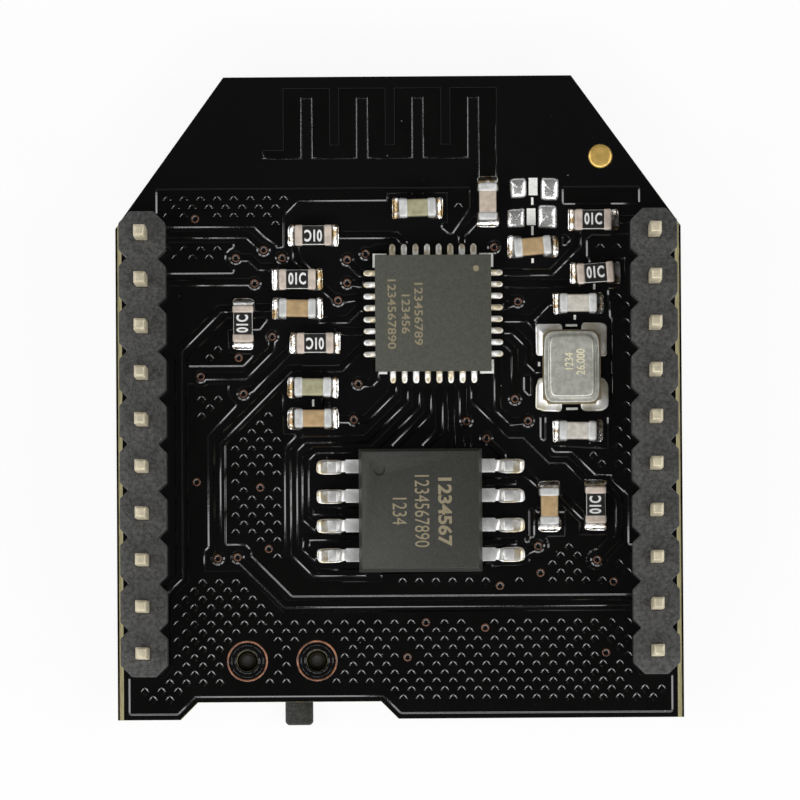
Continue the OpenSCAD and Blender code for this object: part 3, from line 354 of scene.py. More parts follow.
def moulded_paint(name):
    """Moulded plastic or epoxy: sandy and mottled, with pale flecks and dark pits."""
    colour, dull, grain, depth, fleck, mottle = MOULDINGS[name]
    colour, grain = getattr(bpy.context.scene.moulded_look, colour), grain * MM
    p = Paint(name)
    fine = p.noise(grain, 5)
    sand = p.noise(grain * 3, 6).over(0.3, 0.7)
    dark, light = (shaded(colour, share) for share in (1 - mottle, 1 + mottle))
    pits = 1 - p.cells(grain * 2.2).over(0.12, 0.4)
    specks = fine.over(0.6, 0.68) * fleck
    flecked = p.mix(specks, p.mix(sand, dark, light), (0.5, 0.5, 0.46))
    return p.finish(Base_Color=flecked, Roughness=dull + fine * 0.12, Specular_IOR_Level=0.4,
                    Normal=p.bump(fine * 0.6 + sand * 0.4 - pits * 0.4, depth * MM))


def ceramic_paint(name, colour):
    """Fired ceramic: cloudy, with fine pores."""
    p = Paint(name)
    cloud = p.noise(0.25 * MM, 4)
    pores = 1 - p.cells(0.07 * MM).over(0.1, 0.3)
    shade = p.mix(cloud.over(0.3, 0.7), shaded(colour, 0.82), shaded(colour, 1.1))
    return p.finish(Base_Color=shade, Roughness=0.38 + cloud * 0.15,
                    Normal=p.bump(cloud * 0.6 - pores * 0.4, 0.004 * MM))


def glaze_paint(look):
    """Black glass glaze of a resistor."""
    p = Paint("resistor glaze")
    cloud = p.noise(0.15 * MM, 3)
    return p.finish(Base_Color=p.mix(cloud, tuple(look.glaze), shaded(look.glaze, 1.8)),
                    Roughness=0.25 + cloud * 0.15, Normal=p.bump(cloud, 0.004 * MM))


def print_paint(name, colour):
    """Thin printed or lasered marks with a broken surface."""
    p = Paint(name)
    broken = p.noise(0.03 * MM, 3).over(0.3, 0.5)
    return p.finish(Base_Color=p.mix(broken, shaded(colour, 0.6), tuple(colour)),
                    Roughness=0.65, Normal=p.bump(broken, 0.002 * MM))


# ---- Surfaces ----


class Shape:
    """Closed shells gathered into one mesh."""

    def __init__(self):
        self.points = []
        self.faces = []
        self.count = 0

    def add(self, points, *face_arrays):
        for faces in face_arrays:
            self.faces.extend((faces + self.count).tolist())
        self.points.append(points)
        self.count += len(points)

    def shell(self, rings, move=None):
        """A skin through a stack of closed rings, with a pole at each end. move places its points."""
        rows, columns = rings.shape[:2]
        row = np.arange(rows - 1)[:, None] * columns
        here = np.arange(columns)[None, :]
        after = (here + 1) % columns
        quads = np.stack([row + here, row + after, row + columns + after, row + columns + here], -1).reshape(-1, 4)
        low, high = rows * columns, rows * columns + 1
        top = (rows - 1) * columns
        first = np.stack([here[0] * 0 + low, after[0], here[0]], -1)
        last = np.stack([here[0] * 0 + high, top + here[0], top + after[0]], -1)
        points = np.concatenate([rings.reshape(-1, 3), rings[0].mean(0)[None], rings[-1].mean(0)[None]])
        self.add(points if move is None else move(points), quads, first, last)

    def ring(self, middle, inner, outer, low, high, count=36, rows=7):
        """A low round ring whose top is a half circle, with a flat underside."""
        t = np.arange(count) * math.tau / count
        a = np.linspace(0, math.pi, rows)
        radius = (inner + outer) / 2 - np.cos(a) * (outer - inner) / 2
        points = np.zeros((rows, count, 3))
        points[..., 0] = middle[0] + radius[:, None] * np.cos(t)
        points[..., 1] = middle[1] + radius[:, None] * np.sin(t)
        points[..., 2] = (low + (high - low) * np.sin(a))[:, None]
        row, here = np.arange(rows)[:, None] * count, np.arange(count)[None]
        below, after = (row + count) % (rows * count), (here + 1) % count
        self.add(points.reshape(-1, 3), np.stack([row + here, row + after, below + after, below + here], -1)
                 .reshape(-1, 4))

    def piece(self, name, material, body=ROOT, replaces=(), smooth=True):
        """The finished object, riding on its body."""
        mesh = bpy.data.meshes.new(name)
        mesh.from_pydata(np.concatenate(self.points).tolist(), [], self.faces)
        work = bmesh.new()
        work.from_mesh(mesh)
        bmesh.ops.remove_doubles(work, verts=work.verts, dist=0.00002 * MM)
        bmesh.ops.recalc_face_normals(work, faces=work.faces)
        work.to_mesh(mesh)
        work.free()
        mesh.materials.append(material)
        normals = np.empty(len(mesh.polygons) * 3, np.float32)
        mesh.polygons.foreach_get("normal", normals)
        mesh.polygons.foreach_set("use_smooth", smooth & (np.abs(normals[2::3]) < LEVEL))
        mesh.update()
        return dressed(bpy.data.objects.new(name, mesh), body, replaces)


def dressed(piece, body=ROOT, replaces=()):
    """Links a piece to the scene, to its body and to the solids it stands for."""
    if piece.name not in bpy.context.scene.collection.objects:
        bpy.context.scene.collection.objects.link(piece)
    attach(piece, body)
    if replaces:
        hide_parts(*replaces)
    return piece


def set_paint(names, material):
    """Gives CAD nodes their finish."""
    for name in names:
        data = NODES[name].data
        data.materials.clear()
        data.materials.append(material)


def softened(node, material, width, segments=3, body=ROOT, smooth=True):
    """A copy of a solid with its edges rounded over, or cut off flat, which stands for it."""
    mesh = NODES[node].data.copy()
    mesh.name = "soft_" + node
    tidy = bmesh_merged(mesh, smooth)
    tidy.materials.clear()
    tidy.materials.append(material)
    piece = bpy.data.objects.new("soft_" + node, tidy)
    bevel = piece.modifiers.new("edges", "BEVEL")
    bevel.width = width
    bevel.segments = segments
    bevel.limit_method = "ANGLE"
    bevel.angle_limit = math.radians(28)
    bevel.harden_normals = smooth
    bevel.use_clamp_overlap = True
    return dressed(piece, body, [node])


def bmesh_merged(mesh, smooth=True):
    """A CAD mesh's loose triangles, merged and joined into flat faces."""
    work = bmesh.new()
    work.from_mesh(mesh)
    bmesh.ops.remove_doubles(work, verts=work.verts, dist=0.0002 * MM)
    bmesh.ops.dissolve_limit(work, angle_limit=math.radians(0.6), verts=work.verts, edges=work.edges)
    for face in work.faces:
        face.smooth = smooth
    work.to_mesh(mesh)
    work.free()
    return mesh


def corners(node):
    """All the corners of a CAD node, as an array."""
    data = NODES[node].data
    points = np.empty(len(data.vertices) * 3, np.float32)
    data.vertices.foreach_get("co", points)
    return points.reshape(-1, 3).astype(float)


def triangles(node):
    """The corner numbers of a CAD node's triangles, with corners in the same place merged."""
    data = NODES[node].data
    data.calc_loop_triangles()
    numbers = np.empty(len(data.loop_triangles) * 3, np.int32)
    data.loop_triangles.foreach_get("vertices", numbers)
    points = corners(node)
    keys, back = np.unique(np.round(points / (0.0005 * MM)).astype(np.int64), axis=0, return_inverse=True)
    merged = np.zeros((len(keys), 3))
    merged[back.ravel()] = points
    return merged, back.ravel()[numbers].reshape(-1, 3)


def islands(node):
    """Lowest and highest corner of each separate solid in a node: labels spread until they settle."""
    points, tris = triangles(node)
    label = np.arange(len(points))
    while True:
        least = label[tris].min(1)
        new = label.copy()
        for corner in range(3):
            np.minimum.at(new, tris[:, corner], least)
        if (new == label).all():
            break
        label = new
    return [(points[label == k].min(0), points[label == k].max(0)) for k in np.unique(label)]


def lie_of(node):
    """Middle, direction, half length and half width of a bar, from the spread of its corners."""
    points = np.unique(np.round(corners(node), 8), axis=0)
    flat = points[:, :2]
    middle = (flat.max(0) + flat.min(0)) / 2
    spread = np.cov((flat - middle).T)
    values, vectors = np.linalg.eigh(spread)
    along = vectors[:, 1] * np.sign(vectors[:, 1].sum())
    across = np.array([-along[1], along[0]])
    half = np.abs((flat - middle) @ np.stack([along, across], 1)).max(0)
    return {"middle": middle, "along": along, "across": across, "half_l": half[0], "half_w": half[1],
            "low": points[:, 2].min(), "high": points[:, 2].max()}


def placer(lie):
    """Turns points about a bar's middle into points of the part."""

    def move(points):
        flat = lie["middle"] + points[:, :1] * lie["along"] + points[:, 1:2] * lie["across"]
        return np.concatenate([flat, points[:, 2:]], 1)

    return move


def round_ring(half_x, half_y, power, count=RING):
    """Rounded rectangle |x/half_x|^power + |y/half_y|^power = 1, as count points."""
    t = (np.arange(count) + 0.5) * math.tau / count
    c, s = np.cos(t), np.sin(t)
    return np.stack([half_x * np.sign(c) * np.abs(c) ** (2 / power),
                     half_y * np.sign(s) * np.abs(s) ** (2 / power)], -1)


def lumps(count, amount, rng):
    """A gentle random wave round a ring of count points, about 1."""
    t = np.arange(count) * math.tau / count
    turns = rng.uniform(0, math.tau, 3)
    sizes = rng.uniform(0.3, 1, 3) * amount
    return 1 + sum(s * np.sin((k + 2) * t + a) for k, (s, a) in enumerate(zip(sizes, turns)))


def dome(shape, low, high, height, power, rng, rows=9, lump=0.05, crown=2.2):
    """A pool of solder over a pad: rings shrink as 1 - v and rise as the root of 1 - (1 - v)^crown."""
    middle, half = (low + high) / 2, (high - low) / 2
    ring = round_ring(half[0], half[1], power) * lumps(RING, lump, rng)[:, None]
    v = np.linspace(0, 0.93, rows)
    rise = height * (1 - (1 - v) ** crown) ** 0.6
    lean = rng.uniform(-0.12, 0.12, 2)
    rings = np.zeros((rows + 1, RING, 3))
    rings[1:, :, :2] = ring[None] * (1 - v)[:, None, None] + (half[:2] * lean)[None, None] * v[:, None, None]
    rings[0, :, :2] = ring
    rings[0, :, 2] = low[2]
    rings[1:, :, 2] = low[2] + rise[:, None] * lumps(RING, lump * 0.8, rng)[None]
    rings[..., :2] += middle[:2]
    shape.shell(rings)


def skirt(shape, foot, foot_z, neck, neck_z, rng, edge, rows=9, power=5, lump=0.03):
    """Solder that climbs from a foot to a neck: both are (middle x, y, half x, y), and the height
    rises as 1 minus the root of 1 - s^2, which makes the hollow curve of wetted solder."""
    outer = round_ring(foot[2], foot[3], power) * lumps(RING, lump, rng)[:, None] + foot[:2]
    inner = round_ring(neck[2], neck[3], power * 2) + np.array(neck[:2])
    s = np.linspace(0, 1, rows)
    climb = 1 - np.sqrt(np.clip(1 - s**1.8, 0, 1))
    rings = np.zeros((rows + 1, RING, 3))
    rings[0, :, :2] = outer
    rings[0, :, 2] = foot_z
    rings[1:, :, :2] = outer[None] * (1 - s)[:, None, None] + inner[None] * s[:, None, None]
    rings[1:, :, 2] = foot_z + edge + (neck_z - foot_z - edge) * climb[:, None]
    shape.shell(rings)


def pillow(shape, ends, half_w, low, high, radius, move, power=9, count=36, rows=5):
    """A block with round corners between two ends along X: its outline shrinks by the radius as it
    turns into each end face, by a quarter circle."""
    a = np.linspace(0, math.pi / 2, rows)
    start = ends[0] + radius * (1 - np.sin(a))[::-1]
    stop = ends[1] - radius * (1 - np.sin(a))
    inset_start = (radius * (1 - np.cos(a)))[::-1]
    inset_stop = radius * (1 - np.cos(a))
    x = np.concatenate([np.sort(start), np.sort(stop)])
    inset = np.concatenate([np.sort(inset_start)[::-1], np.sort(inset_stop)])
    middle_z, half_z = (low + high) / 2, (high - low) / 2
    rings = np.zeros((len(x), count, 3))
    unit = round_ring(1, 1, power, count)
    rings[:, :, 0] = x[:, None]
    rings[:, :, 1] = unit[None, :, 0] * (half_w - inset)[:, None]
    rings[:, :, 2] = middle_z + unit[None, :, 1] * (half_z - inset)[:, None]
    shape.shell(rings, move)


# ---- Copper relief ----


def border_of(points, tris):
    """Edges of a flat sheet of triangles that only one triangle has, with the sheet on their left."""
    edges = np.concatenate([tris[:, [0, 1]], tris[:, [1, 2]], tris[:, [2, 0]]])
    forward = edges[:, 0] * len(points) + edges[:, 1]
    backward = edges[:, 1] * len(points) + edges[:, 0]
    return edges[~np.isin(forward, backward)]


def outward(points, border):
    """At each corner of the border, the mitred step of unit width away from the sheet."""
    before = np.arange(len(points))
    after = np.arange(len(points))
    after[border[:, 0]] = border[:, 1]
    before[border[:, 1]] = border[:, 0]

    def right_of(start, end):
        way = points[end, :2] - points[start, :2]
        way /= np.maximum(np.linalg.norm(way, axis=1, keepdims=True), 1e-12)
        return np.stack([way[:, 1], -way[:, 0]], 1)

    here = np.arange(len(points))
    first, second = right_of(before, here), right_of(here, after)
    return (first + second) / np.maximum(1 + (first * second).sum(1, keepdims=True), 0.35)


def inside(spots, starts, ends):
    """Whether each spot lies inside the outline, by counting the edges that a ray to +X crosses."""
    found = np.zeros(len(spots), bool)
    for k in range(0, len(spots), 2000):
        x, y = spots[k:k + 2000, 0:1], spots[k:k + 2000, 1:2]
        spans = (starts[:, 1] > y) != (ends[:, 1] > y)
        rise = np.where(ends[:, 1] == starts[:, 1], 1, ends[:, 1] - starts[:, 1])
        cross = starts[:, 0] + (y - starts[:, 1]) * (ends[:, 0] - starts[:, 0]) / rise
        found[k:k + 2000] = (spans & (cross > x)).sum(1) % 2 == 1
    return found


def gap_to(spots, starts, ends):
    """Least distance from each spot to the edges."""
    least = np.full(len(spots), np.inf)
    way = ends - starts
    for k in range(0, len(spots), 500):
        to = spots[k:k + 500, None] - starts[None]
        t = np.clip((to * way).sum(2) / (way * way).sum(1), 0, 1)
        least[k:k + 500] = np.linalg.norm(to - t[..., None] * way, axis=2).min(1)
    return least


def void_places(look, starts, ends, low, high):
    """Middles of the diamond voids: a staggered lattice, without those that an edge would cut."""
    pitch = look.void_pitch
    rows = np.arange(math.ceil((high[1] - low[1]) / pitch * 2) + 1)
    columns = np.arange(math.ceil((high[0] - low[0]) / pitch) + 1)
    x = low[0] + look.void_start_x + pitch * (columns[None] - 1 + 0.5 * (rows[:, None] % 2))
    y = low[1] + look.void_start_y + pitch / 2 * (rows[:, None] - 2) + 0 * x
    spots = np.stack([x.ravel(), y.ravel()], 1)
    spots = spots[inside(spots, starts, ends)]
    return spots[gap_to(spots, starts, ends) > look.void_margin]


def relief(look, node, material, hatched=False, rows=6):
    """Copper under lacquer: the flat top shrinks by the shoulder, and its edge falls along
    t^2 (3 - 2t) to the foot. A hatched one has pits, whose sides fall in the same way."""
    points, tris = triangles(node)
    top_z, low_z = points[:, 2].max(), points[:, 2].min()
    top = tris[(points[tris][:, :, 2] > top_z - 1e-7).all(1)]
    border = border_of(points, top)
    step = outward(points, border)
    on_border = np.zeros(len(points), bool)
    on_border[border.ravel()] = True
    step[~on_border] = 0
    t = np.linspace(0, 1, rows)
    fall = t * t * (3 - 2 * t)
    reach = -look.shoulder + (look.shoulder + look.foot) * t
    skirt_points = np.zeros((rows, len(points), 3))
    skirt_points[:, :, :2] = points[None, :, :2] + step[None] * reach[:, None, None]
    skirt_points[:, :, 2] = top_z - (top_z - low_z) * fall[:, None]
    count = len(points)
    row = np.arange(rows - 1)[:, None] * count
    a, b = border[:, 0][None] + row, border[:, 1][None] + row
    quads = np.stack([a, a + count, b + count, b], -1).reshape(-1, 4)
    shape = Shape()
    if not hatched:
        shape.add(skirt_points.reshape(-1, 3), quads, top, top[:, ::-1] + (rows - 1) * count)
        return shape.piece("lacquered_" + node, material, replaces=[node])
    rim = skirt_points[0, :, :2]
    starts, ends = rim[border[:, 0]], rim[border[:, 1]]
    spots = void_places(look, starts, ends, rim[on_border].min(0), rim[on_border].max(0))
    unit = round_ring(1, 1, 1.2, VOID_SIDES)
    wide = spots[:, None] + unit[None] * look.void_w / 2
    flat, caps = pierced(rim, border, wide.reshape(-1, 2), VOID_SIDES)
    shape.add(skirt_points.reshape(-1, 3), quads, top[:, ::-1] + (rows - 1) * count)
    shape.add(np.concatenate([flat, np.full((len(flat), 1), top_z)], 1), caps)
    pit_rows = 5
    u = np.linspace(0, 1, pit_rows)
    shrink = 1 - 0.6 * u
    depth = look.void_depth * u * u * (3 - 2 * u)
    ring = unit[None] * shrink[:, None, None] * look.void_w / 2
    pits = np.zeros((len(spots), pit_rows * VOID_SIDES + 1, 3))
    pits[:, :-1, :2] = (spots[:, None, None] + ring[None]).reshape(len(spots), -1, 2)
    pits[:, :-1, 2] = top_z - np.repeat(depth, VOID_SIDES)[None]
    pits[:, -1, :2] = spots
    pits[:, -1, 2] = top_z - look.void_depth
    here = np.arange(VOID_SIDES)
    after = (here + 1) % VOID_SIDES
    down = np.arange(pit_rows - 1)[:, None] * VOID_SIDES
    lower = down + VOID_SIDES
    sides = np.stack([down + here, lower + here, lower + after, down + after], -1).reshape(-1, 4)
    floor = (pit_rows - 1) * VOID_SIDES
    base = np.stack([floor + here, here * 0 + pit_rows * VOID_SIDES, floor + after], -1)
    first = np.arange(len(spots))[:, None, None] * (pit_rows * VOID_SIDES + 1)
    shape.add(pits.reshape(-1, 3), (sides[None] + first).reshape(-1, 4), (base[None] + first).reshape(-1, 3))
    return shape.piece("lacquered_" + node, material, replaces=[node])


def round_holes(node, least, most):
    """Middle and radius of each round hole in a copper sheet that is between two widths."""
    points, tris = triangles(node)
    top = tris[(points[tris][:, :, 2] > points[:, 2].max() - 1e-7).all(1)]
    after = dict(border_of(points, top).tolist())
    found = []
    while after:
        start, here = after.popitem()
        loop = [start]
        while here != start:
            loop.append(here)
            here = after.pop(here, start)
        flat = points[loop, :2]
        width = flat.max(0) - flat.min(0)
        if least < width.min() and width.max() < most:
            found.append(((flat.max(0) + flat.min(0)) / 2, width.mean() / 2))
    return found


def pierced(rim, border, holes, sides):
    """Points and triangles between an outline and its holes, by constrained triangulation."""
    count = len(rim)
    here = np.arange(len(holes))
    after = here - here % sides + (here + 1) % sides
    spots = np.concatenate([rim, holes]) / MM
    edges = np.concatenate([border, np.stack([here, after], 1) + count])
    found = delaunay_2d_cdt([Vector(p) for p in spots], edges.tolist(), [], 0, 1e-7)
    new_points = np.array([p[:] for p in found[0]]) * MM
    first_of = np.array([ids[0] if ids else -1 for ids in found[3]])
    tris = np.array([f for f in found[2] if len(f) == 3])
    middle = new_points[tris].mean(1)
    keep = inside(middle, rim[border[:, 0]], rim[border[:, 1]])
    ids = first_of[tris]
    hole = np.where(ids >= count, (ids - count) // sides, -1 - np.arange(3)[None])
    in_hole = (hole[:, 0] == hole[:, 1]) & (hole[:, 1] == hole[:, 2])
    return new_points, tris[keep & ~in_hole]


# ---- Marks ----


def lettering(name, rows, middle, turn, top_z, material):
    """Rows of plain marks laid flat and turned by turn degrees about a middle. A row is its text, how
    far it lies above the middle, its letters' size, their width as a share of that, and their weight."""
    shape = Shape()
    c, s = math.cos(math.radians(turn)), math.sin(math.radians(turn))
    for text, above, size, wide, weight in rows:
        curve = bpy.data.curves.new(name, "FONT")
        curve.body = text
        curve.align_x = "CENTER"
        curve.align_y = "CENTER"
        curve.extrude = LETTER_RISE
        curve.offset = weight
        curve.resolution_u = 3
        holder = bpy.data.objects.new(name, curve)
        bpy.context.scene.collection.objects.link(holder)
        mesh = bpy.data.meshes.new_from_object(holder)
        points = np.empty(len(mesh.vertices) * 3, np.float32)
        mesh.vertices.foreach_get("co", points)
        points = points.reshape(-1, 3).astype(float)
        x, y = points[:, 0] * size * wide, points[:, 1] * size + above
        z = top_z + (points[:, 2] + LETTER_RISE) * size * 0.5
        laid = np.stack([middle[0] + x * c - y * s, middle[1] + x * s + y * c, z], 1)
        mesh.calc_loop_triangles()
        numbers = np.empty(len(mesh.loop_triangles) * 3, np.int32)
        mesh.loop_triangles.foreach_get("vertices", numbers)
        shape.add(laid, numbers.reshape(-1, 3))
        bpy.data.objects.remove(holder)
        bpy.data.meshes.remove(mesh)
        bpy.data.curves.remove(curve)
    return shape.piece(name, material, smooth=False)


# ---- Operators: one for each piece or group of like pieces ----


class MODULE_OT_board(bpy.types.Operator):
    """Lacquer the board, round the copper's edges and press the voids into the hatched ground"""

    bl_idname = "module.board"
    bl_label = "Board"
    via_widths = (0.2 * MM, 0.36 * MM)
    peg_hole_widths = (1.4 * MM, 2 * MM)
    rim_half = 0.05 * MM
    # Inner and outer radius of the two rings inside a peg's hole, and how far they rise.
    peg_rings = ((0.47 * MM, 0.56 * MM, 0.025 * MM), (0.66 * MM, 0.72 * MM, 0.01 * MM))

    def execute(self, context):
        look = context.scene.board_look
        softened("circuit_board", board_paint(look), look.bevel, 1, smooth=False)
        copper = copper_paint(look)
        relief(look, "signal_tracks", copper)
        relief(look, "antenna_trace", copper_paint(look, "lacquered antenna"))
        relief(look, "ground_copper", copper, hatched=True)
        self.rims(look)
        return {"FINISHED"}

    def rims(self, look):
        """Brown rims round the vias and the two peg holes, and the lacquer's edge inside the latter."""
        top_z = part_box("ground_copper")[1].z
        vias = [hole for node in ("signal_tracks", "ground_copper") for hole in round_holes(node, *self.via_widths)]
        shape, pegs, edges = Shape(), Shape(), Shape()
        for middle, radius in vias:
            shape.ring(middle, radius - 0.02 * MM, radius + self.rim_half, top_z - 0.01 * MM, top_z + 0.01 * MM)
        for middle, radius in round_holes("ground_copper", *self.peg_hole_widths):
            inner, outer = radius - self.rim_half, radius + self.rim_half
            pegs.ring(middle, inner, outer, FACE_Z + 0.01 * MM, top_z + 0.012 * MM)
            for inner, outer, rise in self.peg_rings:
                edges.ring(middle, inner, outer, FACE_Z - 0.005 * MM, FACE_Z + rise)
        shape.piece("via_rims", brown_paint("via rim", tuple(look.brown)))
        pegs.piece("peg_hole_rims", brown_paint("peg hole rim", shaded(look.brown, 2.2)))
        edges.piece("peg_hole_edges", copper_paint(look, "lacquer edge"))


class MODULE_OT_ink(bpy.types.Operator):
    """Print the white marks"""

    bl_idname = "module.ink"
    bl_label = "White marks"

    def execute(self, context):
        set_paint(["silk_marks"], ink_paint(context.scene.board_look))
        return {"FINISHED"}


class MODULE_OT_pads(bpy.types.Operator):
    """Gild the alignment mark and pool solder on the bare pads"""

    bl_idname = "module.pads"
    bl_label = "Bare pads"

    def execute(self, context):
        rng = np.random.default_rng(11)
        low, high = (np.array(c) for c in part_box("fiducial"))
        mark = Shape()
        dome(mark, low, high, high[2] - low[2] + 0.02 * MM, 2, rng, lump=0.0, crown=6)
        mark.piece("gold_mark", metal_paint("gold plate"), replaces=["fiducial"])
        pools = Shape()
        for low, high in islands("bare_pads"):
            dome(pools, low, high, (high[2] - low[2]) * 1.1, 7, rng, lump=0.035, crown=2.6)
        solder = metal_paint("bare pad solder")
        pools.piece("solder_pools", solder, replaces=["bare_pads"])
        return {"FINISHED"}


class MODULE_OT_headers(bpy.types.Operator):
    """Mould the two strips, plate their pins and solder the tails"""

    bl_idname = "module.headers"
    bl_label = "Pin headers"

    def execute(self, context):
        plastic = moulded_paint("header plastic")
        pale = metal_paint("pin plating")
        solder = metal_paint("tail solder")
        for side in ("left", "right"):
            softened(side + "_header_strip", plastic, 0.06 * MM)
            softened(side + "_header_pins", pale, 0.03 * MM, 2)
            self.tails(side, solder)
        return {"FINISHED"}

    def tails(self, side, solder):
        """Wetted cones: the radius falls from the pad to the pin as 1 minus the root of 1 - s^2 rises."""
        shape = Shape()
        rng = np.random.default_rng(5)
        for low, high in islands(side + "_header_pins"):
            middle = (low + high) / 2
            foot = (*middle[:2], 0.72 * MM, 0.72 * MM)
            neck = (*middle[:2], 0.25 * MM, 0.25 * MM)
            skirt(shape, foot, BACK_Z, neck, BACK_Z - 0.66 * MM, rng, -0.03 * MM, 10, 2.2, 0.02)
        shape.piece(side + "_tail_solder", solder, replaces=[side + "_header_solder"])


class MODULE_OT_wifi_chip(bpy.types.Operator):
    """Mould the square chip and wet its flush leads with solder"""

    bl_idname = "module.wifi_chip"
    bl_label = "Square chip"

    def execute(self, context):
        look = context.scene.moulded_look
        epoxy = moulded_paint("square chip epoxy")
        softened("wifi_chip_body", epoxy, 0.035 * MM)
        set_paint(["wifi_chip_leads"], metal_paint("lead plating"))
        self.toes(metal_paint("toe solder"))
        low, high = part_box("wifi_chip_body")
        middle = ((low.x + high.x) / 2, (low.y + high.y) / 2)
        mark = print_paint("square chip marks", look.mark)
        rows = [("123456789", -0.65 * MM, 0.5 * MM, 1.25, 0.012), ("123456", -1.2 * MM, 0.5 * MM, 1.2, 0.012),
                ("1234567890", -1.8 * MM, 0.5 * MM, 1.25, 0.012)]
        lettering("square_chip_numbers", rows, middle, -90, high.z, mark)
        spot = Shape()
        ring = round_ring(0.13 * MM, 0.13 * MM, 2, 24) + np.array([high.x - 0.65 * MM, high.y - 0.6 * MM])
        layers = [np.concatenate([ring, np.full((24, 1), z)], 1) for z in (high.z - 0.01 * MM, high.z + 0.003 * MM)]
        spot.shell(np.stack(layers))
        spot.piece("square_chip_spot", mark)
        return {"FINISHED"}

    def toes(self, solder):
        """Each toe is a row of D-shaped sections that narrow to a round tip and climb the chip's side."""
        shape = Shape()
        rng = np.random.default_rng(3)
        low_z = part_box("wifi_chip_solder")[0].z
        chip_low, chip_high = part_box("wifi_chip_body")
        chip = np.array([(chip_low.x + chip_high.x) / 2, (chip_low.y + chip_high.y) / 2])
        half_chip = (chip_high.x - chip_low.x) / 2
        for low, high in islands("wifi_chip_solder"):
            middle = ((low + high) / 2)[:2] - chip
            if np.abs(middle).max() < half_chip * 0.5:
                continue
            way = np.zeros(2)
            axis = int(np.abs(middle).argmax())
            way[axis] = np.sign(middle[axis])
            across = np.array([-way[1], way[0]])
            side = np.dot(middle, across)
            reach = np.abs(np.where(way > 0, high[:2], low[:2]) - chip)[axis] - half_chip
            half_w = (high - low)[1 - axis] / 2
            self.toe(shape, chip, way, across, side, half_chip, reach, half_w, low_z, high[2] - low[2], rng)
        shape.piece("toe_solder", solder, replaces=["wifi_chip_solder"])

    def toe(self, shape, chip, way, across, side, half_chip, reach, half_w, low_z, height, rng):
        u = np.linspace(0, 1, 12)
        wide = half_w * np.sqrt(1 - (1 - np.clip(u / 0.35, 0.02, 1)) ** 2) * rng.uniform(0.97, 1.08)
        tall = 0.07 * MM * (1 - (1 - u) ** 6) ** 0.5 + (height * rng.uniform(0.85, 1.1) - 0.07 * MM) * u**3.2
        a = (np.arange(20) + 0.5) * math.tau / 20
        section_x = np.sign(np.cos(a)) * np.abs(np.cos(a)) ** 0.7
        section_z = np.where(np.sin(a) > 0, np.abs(np.sin(a)) ** 0.8, 0)
        out = half_chip + reach * (1 - u) - 0.02 * MM * u
        rings = np.zeros((12, 20, 3))
        flat = (chip + way * out[:, None])[:, None] + across * (side + wide[:, None] * section_x[None])[..., None]
        rings[..., :2] = flat
        rings[..., 2] = low_z + tall[:, None] * section_z[None]
        shape.shell(rings)


class MODULE_OT_memory_chip(bpy.types.Operator):
    """Mould the chip with eight leads and solder its feet"""

    bl_idname = "module.memory_chip"
    bl_label = "Chip with eight leads"

    def execute(self, context):
        look = context.scene.moulded_look
        epoxy = moulded_paint("eight-lead chip epoxy")
        softened("memory_chip_body", epoxy, 0.04 * MM)
        tin = metal_paint("lead tin")
        softened("memory_chip_leads", tin, 0.045 * MM, 2)
        low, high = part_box("memory_chip_body")
        middle = (low + high) / 2
        shape = Shape()
        rng = np.random.default_rng(17)
        for a, b in islands("memory_chip_solder"):
            mid, half = (a + b) / 2, (b - a) / 2
            way = np.sign(mid[0] - middle.x)
            neck = (mid[0] + way * 0.02 * MM, mid[1], half[0] * 0.5, half[1] * 0.72)
            foot = (mid[0], mid[1], half[0], half[1])
            skirt(shape, foot, a[2], neck, b[2], rng, 0.03 * MM, power=4)
        shape.piece("foot_solder", metal_paint("foot solder"),
                    replaces=["memory_chip_solder"])
        mark = print_paint("eight-lead chip marks", look.mark)
        rows = [("1234567", 1.02 * MM, 0.78 * MM, 1.12, 0.03), ("1234567890", 0.03 * MM, 0.9 * MM, 0.72, 0.0),
                ("1234", -0.93 * MM, 0.88 * MM, 0.74, 0.0)]
        lettering("eight_lead_chip_numbers", rows, middle, -90, high.z, mark)
        return {"FINISHED"}


